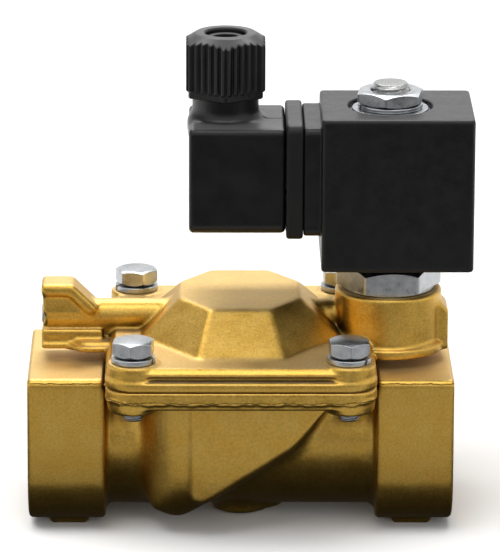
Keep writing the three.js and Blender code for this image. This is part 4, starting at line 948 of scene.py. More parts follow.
class Field:
    """A solid as signed distances on a grid of millimetres."""

    def __init__(self, low: Sequence[float], high: Sequence[float], step: float) -> None:
        """An empty grid.

        Args:
            low: the box's lowest corner.
            high: its highest corner.
            step: the grid's spacing.
        """
        self.low = np.array(low, float) - 3 * step
        self.step = step
        counts = np.ceil((np.array(high, float) + 3 * step - self.low) / step).astype(int) + 1
        axes = [(self.low[i] + step * np.arange(n)).astype(np.float32) for i, n in enumerate(counts)]
        self.x, self.y, self.z = np.meshgrid(*axes, indexing="ij", sparse=True)
        self.solid = np.full(tuple(counts), 1e3, np.float32)

    def add(self, other: np.ndarray, reach: float = 0.0) -> None:
        """Joins a solid on, with a fillet."""
        self.solid = blended(self.solid, other, reach)

    def cut(self, other: np.ndarray, reach: float = 0.0) -> None:
        """Takes a solid away, with a rounded edge."""
        self.solid = less(self.solid, other, reach)

    def rod_z(self, radius: float, low: float, high: float, x: float = 0, y: float = 0,
              edge: float = 0.0) -> np.ndarray:
        """An upright round bar.

        Args:
            radius: its radius.
            low: height of its foot.
            high: height of its top.
            x: X of its axis.
            y: Y of its axis.
            edge: radius of its end edges.

        Returns:
            The bar's field.
        """
        return pushed(np.hypot(self.x - x, self.y - y) - radius, self.z, low, high, edge)

    def rod_x(self, radius: float, low: float, high: float, z: float, edge: float = 0.0) -> np.ndarray:
        """A round bar along X.

        Args:
            radius: its radius.
            low: X of its first end.
            high: X of its second end.
            z: height of its axis.
            edge: radius of its end edges.

        Returns:
            The bar's field.
        """
        return pushed(np.hypot(self.y, self.z - z) - radius, self.x, low, high, edge)

    def slab(self, x: Point, y: Point, z: Point, corner: float = 0.0, edge: float = 0.0) -> np.ndarray:
        """A box.

        Args:
            x: where it starts and ends along X.
            y: where it starts and ends along Y.
            z: its underside and top.
            corner: radius of its upright edges.
            edge: radius of its level edges.

        Returns:
            The box's field.
        """
        across = rectangle(self.x - sum(x) / 2, self.y - sum(y) / 2, (x[1] - x[0]) / 2, (y[1] - y[0]) / 2,
                           corner)
        return pushed(across, self.z, *z, edge)

    def skin(self, name: str) -> bpy.types.Object:
        """The surface as a smooth mesh object.

        Args:
            name: the object's name.

        Returns:
            The object, in the scene.
        """
        grid = openvdb.FloatGrid(3.0)
        grid.copyFromArray(np.ascontiguousarray(np.clip(self.solid / self.step, -3, 3), dtype=np.float32))
        points, triangles, quads = grid.convertToPolygons(isovalue=0.0, adaptivity=0.0)
        obj = mesh_object(name, points * self.step + self.low, [*triangles.tolist(), *quads.tolist()])
        corners = points[quads[:, :3]].astype(float)
        if np.einsum("ij,ij->", corners[:, 0], np.cross(corners[:, 1], corners[:, 2])) < 0:
            obj.data.flip_normals()
        obj.data.shade_smooth()
        return obj


# ---- Cast body ----


@dataclass
class CastBody:
    """The brass body with its threaded ports.

    Attributes:
        span: inlet face to outlet face.
        axis: height of the port axis.
        step: grid spacing of the casting's surface.
        pitch: pitch of the port threads.
    """

    span: float = 110.6
    axis: float = 22.1
    step: float = 0.5
    pitch: float = 2.309

    def build(self) -> None:
        """Models the body and the thread in each port."""
        role = Role(Body.VALVE, ForgedBrass(), ("valve_body",))
        present(self.casting().skin("valve_body_casting"), role)
        for name, side in (("inlet", -1), ("outlet", 1)):
            present(self.thread(f"{name}_port_thread", side),
                    Role(Body.VALVE, MachinedBrass(), ("valve_body",)))

    def casting(self) -> Field:
        """Ports, bowl, flange and waterways."""
        field = Field((-55.4, -41, 0), (55.4, 41, 44.3), self.step)
        half = self.span / 2
        field.add(self.bowl(field))
        field.add(field.rod_x(19.5, -36, 36, self.axis), 5.0)
        field.add(field.rod_z(7, 0.5, 12, edge=0.8), 2.5)
        field.add(field.rod_z(3.2, 1.6, 12, 7.4, -1.5, edge=0.8), 2.0)
        for side in (-1, 1):
            field.add(self.port_block(field, side, half), 2.5)
        self.flange(field)
        self.waterways(field, half)
        return field

    def port_block(self, field: Field, side: int, half: float) -> np.ndarray:
        """One square port block on its foot.

        Args:
            field: the grid it goes on.
            side: -1 at the inlet, 1 at the outlet.
            half: half of the span.

        Returns:
            The block's field.
        """
        middle = 1.6 + 41 / 2
        corner = np.where(field.z < middle, 13.5, 1.9).astype(np.float32)
        section = rectangle(field.y, field.z - middle, 24, 20.5, corner)
        block = pushed(section, side * field.x, half - 20, half, 1.1)
        ends = tuple(sorted((side * (half - 15.4), side * (half - 5.4))))
        foot = field.slab(ends, (-13, 13), (0, 4), 1.5, 0.5)
        return blended(block, foot, 1.2)

    def bowl(self, field: Field) -> np.ndarray:
        """The slanting bowl under the flange.

        Args:
            field: the grid it goes on.

        Returns:
            The bowl's field.
        """
        slant = outline(field.x, field.z, rounded(
            [(-25, 41), (-25, 9.0), (-16.3, 2.5), (-9.5, 9.0), (13.9, 24.3), (24, 36), (24, 41)], 3.5))
        corner = np.where(field.z < 22, 16.0, 1.5).astype(np.float32)
        across = rectangle(field.y, field.z - 21.75, 29.0, 19.25, corner)
        upright = np.where(field.x < -0.5, 12, 8).astype(np.float32)
        plan = rectangle(field.x + 0.5, field.y, 24.5, 29.0, upright)
        panel = outline(field.x, field.z, rounded(
            [(-13, 40), (-13, 11.2), (-9.6, 10.4), (13.9, 25.9), (23.3, 37), (23.3, 40)], 3))
        panel = pushed(panel, np.abs(field.y), 12, 29.6, 1.2)
        return blended(shared(shared(slant, across, 2.5), plan, 1.5), panel, 1.6)

    def flange(self, field: Field) -> None:
        """The flange's two layers, the flash between them and the bolt bosses.

        Args:
            field: the grid it goes on.
        """
        wander = 0.09 * (np.sin(field.x * 0.61) + np.sin(field.x * 1.7 + 1) + np.sin(field.y * 1.3 + 2))
        plan = rectangle(field.x, field.y, 34.9, 40.75, FLANGE_CORNER)
        field.add(pushed(plan + 0.1, field.z, 41.5, 44.2, 0.35), 0.4)
        field.add(pushed(plan - 0.2, field.z - wander, 41.1, 41.55, 0.1), 0.3)
        field.add(pushed(plan + 0.75, field.z, 39.3, 41.3, 0.5), 1.2)
        for x, y in BOLT_PLACES:
            field.add(field.rod_z(6.6, 37.8, 40.5, x, y, 0.6), 1.0)
            field.cut(field.rod_z(3.05, 30, 50, x, y), 0.3)

    def waterways(self, field: Field, half: float) -> None:
        """Thread bores, passages, seat and chamber.

        Args:
            field: the grid it goes on.
            half: half of the span.
        """
        seat = field.rod_z(16.5, 20, 39.5)
        chamber = field.rod_z(22.5, 35.5, 45)
        deep = shared(field.rod_z(22.5, 28, 45), field.x + 5)
        for side in (-1, 1):
            flare = np.clip(side * field.x - half + 1.0, 0, 2)
            mouth = np.hypot(field.y, field.z - self.axis) - 16.6 - flare
            field.cut(pushed(mouth, side * field.x, half - 17, half + 2), 0.3)
        field.cut(less(blended(chamber, deep), seat))
        field.cut(field.rod_x(PASSAGE, -half + 10, -17, self.axis), 0.4)
        field.cut(field.rod_x(PASSAGE, 0, half - 10, self.axis), 0.4)
        field.cut(np.sqrt(field.x**2 + field.y**2 + (field.z - self.axis) ** 2) - PASSAGE)
        field.cut(field.rod_z(PASSAGE, self.axis, 50), 0.3)
        field.cut(field.rod_z(31, 42.2, 50))
        field.cut(field.rod_z(16.5, 39.5, 50))

    def thread(self, name: str, side: int) -> bpy.types.Object:
        """The G1 thread in one port, as a lining of its bore.

        Args:
            name: the piece's name.
            side: -1 at the inlet, 1 at the outlet.

        Returns:
            The piece.
        """
        half = self.span / 2
        start, end = half - 16.8, half - 0.75
        depth = np.linspace(start, end, 132)[:, None]
        angles = np.linspace(0, 2 * math.pi, 96, endpoint=False)[None, :]
        wave = np.abs(((depth / self.pitch - angles / (2 * math.pi)) % 1) * 2 - 1)
        radii = 15.15 + 1.25 * np.clip(wave * 1.2 - 0.1, 0, 1)
        radii = np.maximum(radii, 16.5 - np.clip(end - depth, 0, 3) * 0.9)
        outer = np.full_like(angles, 17.0)
        rows = np.concatenate([
            spun(radii, side * depth, angles, (0, 0, self.axis), Axis.X),
            spun(outer, side * np.full_like(angles, end), angles, (0, 0, self.axis), Axis.X),
            spun(outer, side * np.full_like(angles, start), angles, (0, 0, self.axis), Axis.X),
        ])
        return crisp(name, loft(rows, wrap=True), sharp=60)


# ---- Bonnet ----


@dataclass
class Bonnet:
    """The brass bonnet with its dome, passage arm and pilot boss.

    Attributes:
        pilot_x: X of the pilot's axis.
        step: grid spacing of the casting's surface.
    """

    pilot_x: float = PILOT_X
    step: float = 0.45

    def build(self) -> None:
        """Models the bonnet and the plug in the end of its drilled arm."""
        field = Field((-52, -41, 44.3), (54.4, 41, 62.9), self.step)
        self.plate(field)
        self.dome(field)
        self.arm(field)
        self.pilot(field)
        self.hollows(field)
        present(field.skin("bonnet_casting"), Role(Body.VALVE, ForgedBrass(), ("bonnet",)))
        present(self.passage_plug(), Role(Body.VALVE, ZincSteel(), ("passage_plug",)))

    def plate(self, field: Field) -> None:
        """Layered plate, tier, tab and bolt pads.

        Args:
            field: the grid it goes on.
        """
        plan = rectangle(field.x, field.y, 34.9, 40.8, FLANGE_CORNER)
        field.add(pushed(plan, field.z, 44.3, 46.75, 0.3))
        field.add(pushed(plan + 0.85, field.z, 46, 49.0, 0.5), 0.3)
        field.cut(pushed(-(plan + 2.1), field.z, 47.0, 48.3, 0.3), 0.3)
        tab = rectangle(field.x + 16.5, field.y, 28.5, 8.6, 6)
        field.add(pushed(tab, field.z, 45.3, 46.9, 0.4), 0.4)
        field.add(pushed(tab + 1.4, field.z, 46, 47.8, 0.4), 0.4)
        for x, y in BOLT_PLACES:
            field.add(field.rod_z(6.8, 46, 50.65, x, y, 0.5), 0.8)
        shoulder = shared((field.z - 48.8 + plan + 0.85) / 1.414, plan + 0.85, 0.5)
        field.add(pushed(shoulder, field.z, 48.4, 50.3, 0.3), 0.2)

    def dome(self, field: Field) -> None:
        """The faceted dome.

        Args:
            field: the grid it goes on.
        """
        away_x, away_y, up = np.abs(field.x), np.abs(field.y), field.z - 49
        solid = up - 11.3
        for across, foot, fall in ((away_y, 34.0, 15.4), (away_x, 27.5, 11.8),
                                   (0.808 * away_x + 0.59 * away_y, 29.2, 12.1)):
            facet = (across - foot + up * fall / 11.3) / math.hypot(1, fall / 11.3)
            solid = shared(solid, facet, 0.7)
        field.add(shared(solid, 46 - field.z), 0.8)

    def arm(self, field: Field) -> None:
        """Drilled arm, web and raised end block with its rim.

        Args:
            field: the grid it goes on.
        """
        panel = outline(field.x, field.z, rounded(
            [(-51.6, 54.6), (-38.8, 54.6), (-44, 60.2), (-51.6, 60.2)], 0.6))
        inner = outline(field.x, field.z, rounded(
            [(-51.6, 45.3), (-39.5, 45.3), (-39.5, 56), (-51.6, 56)], 0.6))
        rim = outline(field.x, field.z, rounded(
            [(-52, 59.3), (-44.9, 59.3), (-40.2, 54.5), (-38.0, 54.5), (-37.2, 56.3), (-43.8, 62.7),
             (-52, 62.7)], 1.1))
        lip = outline(field.x, field.z, rounded(
            [(-52, 45.3), (-37.8, 45.3), (-37.8, 46.9), (-52, 46.9)], 0.4))
        foot = outline(field.x, field.z, rounded([(-52, 46.2), (-36, 46.2), (-36, 50.4), (-52, 50.4)], 0.8))
        arm = blended(pushed(panel, field.y, -4, 4, 0.7), pushed(inner, field.y, -2.8, 2.8, 0.4), 0.4)
        arm = blended(arm, pushed(rim, field.y, -4.9, 4.9, 1.3), 0.5)
        arm = blended(arm, pushed(foot, field.y, -4.3, 4.3, 0.8), 0.3)
        arm = blended(arm, pushed(lip, field.y, -4.9, 4.9, 0.5), 0.2)
        web = pushed(rectangle(field.x + 38.5, field.y, 12.5, 2.6, 0.5), field.z, 45.3, 53.7)
        arm = blended(arm, web, 0.6)
        arm = blended(arm, field.rod_x(4, -51, self.pilot_x, DRILLING_Z, 0.5), 1.0)
        field.add(arm, 1.2)

    def pilot(self, field: Field) -> None:
        """Turned boss, its plate and the pad beyond it.

        Args:
            field: the grid it goes on.
        """
        pad = outline(field.x, field.z, rounded(
            [(40, 45.3), (54.3, 45.3), (54.3, 56.1), (51.8, 58.6), (40, 58.6)], 0.8))
        field.add(pushed(pad, field.y, -5.5, 5.5, 0.9), 0.6)
        field.add(field.rod_z(15.2, 45.2, 47.8, self.pilot_x, edge=0.5), 0.4)
        field.add(field.rod_z(13.9, 45.2, 61.3, self.pilot_x, edge=0.9), 0.9)

    def hollows(self, field: Field) -> None:
        """Control chamber, pilot bores, bolt holes and passages.

        Args:
            field: the grid it goes on.
        """
        roof = outline(np.hypot(field.x, field.y), field.z, [(-26, 40), (26, 40), (26, 44.3), (24, 48),
                                                              (13, 56), (-13, 56)])
        field.cut(roof)
        field.cut(field.rod_z(11.4, 59.3, 66, self.pilot_x))
        field.cut(field.rod_z(9.15, 55.6, 66, self.pilot_x))
        field.cut(less(field.rod_z(6.6, 49.5, 66, self.pilot_x), field.rod_z(2.2, 44, 52.3, self.pilot_x)))
        for x, y in BOLT_PLACES:
            field.cut(field.rod_z(3.3, 40, 60, x, y), 0.3)
        field.cut(field.rod_x(1.6, -53, self.pilot_x, DRILLING_Z))
        field.cut(field.rod_x(2.75, -53, -46, DRILLING_Z), 0.3)

    def passage_plug(self) -> bpy.types.Object:
        """Socket screw that closes the drilled arm."""
        field = Field((-51.9, -2.6, 51.1), (-46.1, 2.6, 56.3), 0.12)
        field.add(field.rod_x(2.6, -51.9, -46.1, DRILLING_Z, 0.35))
        away_y, away_z = np.abs(field.y), np.abs(field.z - DRILLING_Z)
        socket = np.maximum(away_z, away_y * 0.866 + away_z * 0.5) - 1.25
        field.cut(pushed(socket, field.x, -54, -49.4), 0.2)
        return field.skin("passage_plug_screw")


# ---- Fasteners on the flange ----


@dataclass
class FlangeFasteners:
    """Four hexagon bolts on spring washers.

    Attributes:
        turns: degrees of each head.
        splits: degrees of each washer's split.
    """

    turns: tuple[float, ...] = (-7, 4, 4, 18)
    splits: tuple[float, ...] = (-28, -41, 100, 200)

    def build(self) -> None:
        """Models each bolt and washer."""
        corners = {"front_left": (-BOLT_X, -BOLT_Y), "front_right": (BOLT_X, -BOLT_Y),
                   "rear_right": (BOLT_X, BOLT_Y), "rear_left": (-BOLT_X, BOLT_Y)}
        for (name, (x, y)), turn, split in zip(corners.items(), self.turns, self.splits):
            centre = (x, y, 0)
            head = hexed(10, 52.5, 56.5, turn, centre, foot=0.9)
            shank = threaded(2.45, 2.9, 1.0, 35.2, 52.9, centre, tip=0.6)
            present(crisp(f"{name}_bolt", head, shank),
                    Role(Body.VALVE, ZincSteel(), (f"flange_bolt_{name}",)))
            present(crisp(f"{name}_washer", split_washer(3.1, 5.7, 50.8, 52.2, split, centre)),
                    Role(Body.VALVE, ZincSteel(), (f"lock_washer_{name}",)))


# ---- Diaphragm ----


@dataclass
class MainValve:
    """What lifts off the seat: diaphragm, plates, their bolt and nut, and the spring.

    Attributes:
        spring_low: height of the spring's foot.
        spring_high: height of its top.
        lift: how far the assembly lifts; not used.
    """

    spring_low: float = 43.1
    spring_high: float = 55.9
    lift: float = 5.5

    def build(self) -> None:
        """Models the diaphragm assembly."""
        steel = Stainless()
        self.diaphragm()
        present(crisp("upper_plate_disc", ring(2.6, 15.5, 41.5, 43.0, edge=0.3)),
                Role(Body.DISC, steel, ("upper_plate",)))
        present(crisp("lower_plate_disc", ring(2.6, 11.9, 37.3, 39.5, edge=0.3)),
                Role(Body.DISC, MachinedBrass(), ("lower_plate",)))
        keep_node("plate_bolt", steel)
        keep_node("plate_nut", steel)
        coils = helix(8.2, 0.65, self.spring_low, self.spring_high, 4.5, (0, 0, 0))
        spring = crisp("main_spring_wire", coils)
        present(spring, Role(Body.DISC, steel, ("main_spring",)))
        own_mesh(spring)

    def diaphragm(self) -> None:
        """The dished diaphragm, attached to no body."""
        lower = [(2.6, 39.6), (17.0, 39.6), (22.2, 42.3), (30.8, 42.3)]
        upper = [(30.8, 44.2), (21.8, 44.2), (16.6, 41.4), (2.6, 41.4)]
        outline_points = [*self.spread(lower), *self.spread(upper)]
        obj = crisp("diaphragm_membrane", turned(outline_points, edge=0.15))
        obj.data.materials.append(Rubber().material())
        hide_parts("diaphragm")
        LOG.info("%s between valve and valve_disc", obj.name)
        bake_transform(obj)

    @staticmethod
    def spread(points: Sequence[Point]) -> list[Point]:
        """A line of points with more of them on its long sides.

        Args:
            points: the line's corners.

        Returns:
            The corners and the points between them.
        """
        result = [points[0]]
        for (r0, z0), (r1, z1) in zip(points, points[1:]):
            count = max(1, int(math.hypot(r1 - r0, z1 - z0) / 1.2))
            result += [(r0 + (r1 - r0) * i / count, z0 + (z1 - z0) * i / count)
                       for i in range(1, count + 1)]
        return result


# ---- Armature tube and what holds the coil on it ----


@dataclass
class Armature:
    """Tube base, guide tube, core with its stud, plunger, washers and nut, about the pilot's axis.

    Attributes:
        x: X of that axis.
        nut_turn: degrees of the coil nut.
    """

    x: float = PILOT_X
    nut_turn: float = -10.0

    def build(self) -> None:
        """Models the armature."""
        centre = (self.x, 0, 0)
        steel, zinc, rubber = Stainless(), ZincSteel(), Rubber()
        base = [hexed(24, 62.2, 68.0, 32.5, centre, hole=6.65, top=0.55),
                ring(6.65, 12.0, 61.4, 62.4, centre), ring(6.65, 9.0, 55.9, 61.6, centre)]
        self.fit("tube_base_hexagon", base, Body.VALVE, zinc, "tube_base")
        self.fit("armature_guide_tube", [ring(6.0, 6.5, 56.0, 105.3, centre)], Body.VALVE, steel,
                 "guide_tube")
        core = turned([(0, 91.5), (3.95, 91.5), (3.95, 93.05), (5.05, 93.05), (5.05, 91.5), (5.85, 91.5),
                       (5.85, 105.6), (0, 105.6)], centre)
        stud = threaded(4.25, 4.9, 1.5, 105.2, 116.1, centre, tip=0.7)
        self.fit("fixed_core_and_stud", [core, stud], Body.VALVE, steel, "fixed_core")
        self.fit("core_shading_ring", [ring(4.1, 4.9, 91.5, 92.9, centre)], Body.VALVE, Copper(),
                 "shading_ring")
        self.fit("tube_sealing_ring", [ring(9.3, 11.2, 59.4, 61.3, centre, edge=0.9)], Body.VALVE, rubber,
                 "tube_oring")
        plunger = turned([(0, 55.3), (2.95, 55.3), (2.95, 52.9), (5.7, 52.9), (5.7, 89.3), (3.3, 89.3),
                          (3.3, 76.3), (0, 76.3)], centre)
        self.fit("pilot_plunger_rod", [plunger], Body.PLUNGER, steel, "plunger")
        self.fit("plunger_seal_disc", [turned([(0, 52.4), (2.8, 52.4), (2.8, 54.7), (0, 54.7)], centre)],
                 Body.PLUNGER, rubber, "plunger_seal")
        spring = self.fit("plunger_spring_wire", [helix(2.6, 0.3, 76.4, 91.4, 9, centre)],
                          Body.PLUNGER, steel, "plunger_spring")
        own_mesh(spring)
        self.fit("coil_foot_seal", [ring(7.4, 9.6, 68.1, 69.3, centre, edge=0.5)], Body.VALVE, rubber,
                 "coil_lower_seal")
        self.fit("coil_plain_washer", [ring(5.2, 9.9, 108.6, 109.5, centre)], Body.VALVE, zinc,
                 "coil_flat_washer")
        self.fit("coil_spring_washer", [split_washer(5.2, 8.4, 109.6, 110.7, 200, centre)],
                 Body.VALVE, zinc, "coil_lock_washer")
        nut = hexed(16, 110.8, 114.3, self.nut_turn, centre, hole=5.1, top=0.5, foot=0.5)
        self.fit("coil_fixing_nut", [nut], Body.VALVE, zinc, "coil_nut")

    @staticmethod
    def fit(name: str, parts: Sequence[Shape], body: Body, finish: Finish,
            node: str) -> bpy.types.Object:
        """Models one piece.

        Args:
            name: the piece's name.
            parts: its lofted parts.
            body: the body it rides on.
            finish: its finish.
            node: the CAD node it stands for.

        Returns:
            The piece.
        """
        return present(crisp(name, *parts), Role(body, finish, (node,)))


# ---- Coil ----


@dataclass
class Coil:
    """Moulded coil with its square neck, steel frame, bobbin, winding and blades.

    Attributes:
        axis_x: X of the coil's axis.
        plug_z: height of the neck's axis.
        near: X of the case's face that carries the neck.
        far: X of the case's other face.
        half_width: half of the case's width.
        foot: height of its underside.
        top: height of its top.
        neck_face: X of the neck's end.
        half_neck: half of the neck's width.
        step: grid spacing of the case's surface.
    """

    axis_x: float = PILOT_X
    plug_z: float = PLUG_Z
    near: float = 20.7
    far: float = 60.1
    half_width: float = 16.75
    foot: float = 69.4
    top: float = 110.0
    neck_face: float = 16.1
    half_neck: float = 14.5
    step: float = 0.4

    def build(self) -> None:
        """Models the coil."""
        present(self.housing().skin("coil_case"), Role(Body.COIL, CoilPlastic(), ("coil_housing",)))
        keep_node("coil_yoke", ZincSteel(), 0.2)
        centre = (self.axis_x, 0, 0)
        bobbin = turned([(6.8, 73.5), (12.2, 73.5), (12.2, 74.7), (8.0, 74.7), (8.0, 104.7), (12.2, 104.7),
                         (12.2, 105.9), (6.8, 105.9)], centre, edge=0.2)
        present(crisp("winding_bobbin", bobbin), Role(Body.COIL, PalePlastic(), ("coil_bobbin",)))
        heights = np.linspace(74.9, 104.5, 180)
        turns = [(11.8 - 0.16 * abs(math.sin(i * math.pi / 4)), float(z)) for i, z in enumerate(heights)]
        winding = turned([(8.2, 74.9), *turns, (8.2, 104.5)], centre, edge=0.02)
        present(crisp("copper_winding", winding), Role(Body.COIL, Copper(), ("coil_winding",)))
        for name in ("blade_line", "blade_neutral", "blade_earth"):
            keep_node(name, ZincSteel(), 0.25)

    def housing(self) -> Field:
        """Case and neck, with the recess, the bore and the room for the steel frame."""
        side = self.half_width
        field = Field((self.neck_face, -side, self.foot), (self.far, side, self.top), self.step)
        field.add(field.slab((self.near, self.far), (-side, side), (self.foot, self.top), 1.2, 0.8))
        neck = rectangle(field.y, field.z - self.plug_z, self.half_neck, self.half_neck, 2)
        field.add(pushed(neck, field.x, self.neck_face, 25, 0.4), 0.5)
        field.cut(field.slab((23.5, 53.9), (-12.4, 12.4), (70.7, 108.55)))
        field.cut(field.rod_z(7, 60, 90, self.axis_x))
        field.cut(field.rod_z(11, 108.3, 120, self.axis_x), 0.3)
        return field


# ---- Plug and cable gland ----


@dataclass
class Plug:
    """Square cable plug with its gasket, contacts, screw and gland.

    Attributes:
        face: X of the face towards the coil.
        back: X of the outer face.
        z: height of the plug's axis.
        half: half of the case's width.
        wall: thickness of its walls.
        half_gasket: half of the gasket's width.
        gasket_ends: X where the gasket starts and ends.
        gland_x: X of the gland's axis.
        neck_top: height of the gland's neck.
        step: grid spacing of the case's surface.
    """

    face: float = 11.5
    back: float = -13.5
    z: float = PLUG_Z
    half: float = 14.0
    wall: float = 2.0
    half_gasket: float = 15.2
    gasket_ends: Point = (11.6, 16.0)
    gland_x: float = -4.0
    neck_top: float = 124.3
    step: float = 0.3

    def build(self) -> None:
        """Models the plug."""
        plastic, rubber = PlugPlastic(), Rubber()
        present(self.housing().skin("plug_case"), Role(Body.PLUG, plastic, ("plug_housing",)))
        present(self.gasket().skin("plug_face_gasket"), Role(Body.PLUG, rubber, ("plug_gasket",)))
        present(self.screw().skin("plug_fixing_screw"), Role(Body.PLUG, ZincSteel(), ("plug_screw",)))
        seal = ring(1.65, 3.2, self.back + 2.2, self.back + 2.9, (0, 0, self.z), Axis.X, 0.15)
        present(crisp("plug_screw_sealing_ring", seal), Role(Body.PLUG, rubber, ("plug_screw_seal",)))
        keep_node("terminal_block", PalePlastic(), 0.3)
        for name in ("line", "neutral", "earth"):
            keep_node(f"contact_{name}", MachinedBrass(), 0.2)
            keep_node(f"clamp_screw_{name}", ZincSteel(), 0.15)
        centre = (self.gland_x, 0, 0)
        grommet = ring(3.1, 6.4, 111.6, 125.5, centre, edge=0.5)
        present(crisp("gland_sealing_sleeve", grommet), Role(Body.PLUG, rubber, ("gland_grommet",)))
        collar = ring(3.2, 4.9, 126.6, 128.2, centre, edge=0.4)
        present(crisp("gland_pressure_ring", ring(3.4, 8.6, 125.6, 126.8, centre, edge=0.3), collar),
                Role(Body.RING, plastic, ("gland_ring",)))
        present(GlandNut(self.gland_x).solid(), Role(Body.CAP, plastic, ("gland_nut",)))

    def housing(self) -> Field:
        """Case with the gland's neck, the screw's boss and an engraved line."""
        half, room = self.half, self.half - self.wall
        field = Field((self.back, -half, 78.8), (self.face, half, self.neck_top), self.step)
        corner = np.where(field.z < self.z, 2.6, 1.6).astype(np.float32)
        case = pushed(rectangle(field.y, field.z - self.z, half, half, corner), field.x, self.back,
                      self.face, 1.3)
        inside = pushed(rectangle(field.y, field.z - self.z, room, room, 0.8), field.x,
                        self.back + self.wall, 40)
        neck = field.rod_z(8.6, 104, self.neck_top, self.gland_x, edge=0.4)
        outside = blended(case, neck, 3.2)
        outside = shared(outside, field.y - half)
        outside = shared(outside, -half - field.y)
        boss = pushed(np.hypot(field.y, field.z - self.z) - 5.4, field.x, self.back + 0.3, self.back + 5)
        field.add(blended(less(outside, inside), boss, 0.5))
        field.cut(field.rod_z(6.6, 111.5, 130, self.gland_x), 0.3)
        field.cut(field.rod_z(5.6, 103, 113, self.gland_x))
        screw = np.hypot(field.y, field.z - self.z)
        field.cut(pushed(screw - 3.5, field.x, self.back - 3, self.back + 3), 0.3)
        field.cut(pushed(screw - 1.8, field.x, self.back - 1, self.face + 1))
        line = np.maximum(np.abs(field.y + 1.5) - 0.28, 106.45 - field.z)
        field.cut(np.maximum(line, np.abs(field.x - 8.3) - 2.6), 0.15)
        return field

    def gasket(self) -> Field:
        """Soft frame between the plug and the coil's neck."""
        (start, end), half = self.gasket_ends, self.half_gasket
        field = Field((start, -half, 77.6), (end, half, 108.0), self.step)
        field.add(pushed(rectangle(field.y, field.z - self.z, half, half, 2.2), field.x, start, end, 0.8))
        field.cut(pushed(rectangle(field.y, field.z - self.z, 11.9, 11.9, 1), field.x, 0, 40))
        return field

    def screw(self) -> Field:
        """Long screw with a cross in its head."""
        field = Field((self.back + 0.1, -2.9, self.z - 2.9), (21.0, 2.9, self.z + 2.9), 0.15)
        across, up = field.y, field.z - self.z
        field.add(pushed(np.hypot(across, up) - 2.9, field.x, self.back + 0.1, self.back + 2.1, 0.5))
        field.add(pushed(np.hypot(across, up) - 1.5, field.x, self.back + 1, 20.9, 0.3))
        cross = np.minimum(rectangle(across, up, 1.9, 0.35, 0.1), rectangle(across, up, 0.35, 1.9, 0.1))
        field.cut(pushed(cross, field.x, self.back - 2, self.back + 1.3), 0.15)
        return field


@dataclass
class GlandNut:
    """Ribbed clamping nut, coned at its top around the cable's hole.

    Attributes:
        x: X of its axis.
        low: height of its underside.
        high: height of its top.
        flats: size across the ribs' crests.
        ribs: ribs on each face.
    """

    x: float
    low: float = 112.9
    high: float = 129.3
    flats: float = 20.5
    ribs: int = 6

    def solid(self) -> bpy.types.Object:
        """The nut as one piece."""
        count = 6 * self.ribs * 12
        angles = (np.arange(count) + 0.5) / count * 2 * math.pi
        sector = (angles + math.pi / 6) % (math.pi / 3) - math.pi / 6
        low_flat = self.flats / 2 - 0.62
        plain = low_flat / np.cos(sector)
        plain = np.minimum(plain, low_flat * 1.135)
        along = low_flat * np.tan(sector)
        pitch = 2 * low_flat * math.tan(math.pi / 6) / self.ribs
        share = (along / pitch) % 1
        crest = np.clip((0.5 - np.abs(share - 0.5)) / 0.22 - 0.35, 0, 1)
        ribbed = plain + crest * 0.6 / np.cos(sector)
        levels = [self.low + 0.3, self.low + 1.7, self.low + 1.9, self.low + 2.2,
                  *np.linspace(self.low + 4, 126.0, 6), *np.linspace(126.2, self.high, 16)]
        rows_r, rows_z = [np.full(count, 8.95), plain - 0.3], [self.low, self.low]
        for z in levels:
            shape = plain + (ribbed - plain) * min(1.0, max(0.0, (z - self.low - 1.7) / 0.4))
            rows_r.append(np.minimum(shape, 7.75 + (self.high - z) / math.tan(math.radians(32))))
            rows_z.append(z)
        inner = [(5.7, self.high), (5.3, self.high - 0.4), (5.3, self.high - 2.2), (8.95, self.high - 2.2)]
        rows_r += [np.full(count, radius) for radius, _ in inner]
        rows_z += [z for _, z in inner]
        rows = spun(np.stack(rows_r), np.array(rows_z)[:, None], angles[None, :], (self.x, 0, 0))
        return crisp("gland_clamping_nut", loft(rows, wrap=True), sharp=38)


# ---- Studio ----


@dataclass
class Card:
    """A plane seen only in reflections.

    Attributes:
        name: its name.
        centre: its middle, in metres.
        size: its two sides, in metres.
        turn: its rotation, in degrees.
        tone: its brightness.
    """

    name: str
    centre: Triple
    size: tuple[float, float]
    turn: Triple
    tone: float

    def build(self) -> None:
        """Adds the card."""
        obj = plane(self.name, self.size)
        obj.location = self.centre
        obj.rotation_euler = [math.radians(a) for a in self.turn]
        material = bpy.data.materials.new(self.name)
        tree = blank(material)
        grey = (self.tone, self.tone, self.tone, 1)
        glow = put(tree, "ShaderNodeEmission", {"Color": grey, "Strength": 1.0})
        put(tree, "ShaderNodeOutputMaterial", {"Surface": glow.outputs[0]})
        obj.data.materials.append(material)
        for ray in ("camera", "diffuse", "shadow", "transmission", "volume_scatter"):
            setattr(obj, f"visible_{ray}", False)


def plane(name: str, size: tuple[float, float]) -> bpy.types.Object:
    """A stage plane about the origin.

    Args:
        name: its name.
        size: its two sides, in metres.

    Returns:
        The plane, in the scene.
    """
    half_x, half_y = size[0] / 2, size[1] / 2
    corners = [(-half_x, -half_y, 0), (half_x, -half_y, 0), (half_x, half_y, 0), (-half_x, half_y, 0)]
    mesh = bpy.data.meshes.new(name)
    mesh.from_pydata(corners, [], [[0, 1, 2, 3]])
    obj = bpy.data.objects.new(name, mesh)
    bpy.context.scene.collection.objects.link(obj)
    return obj


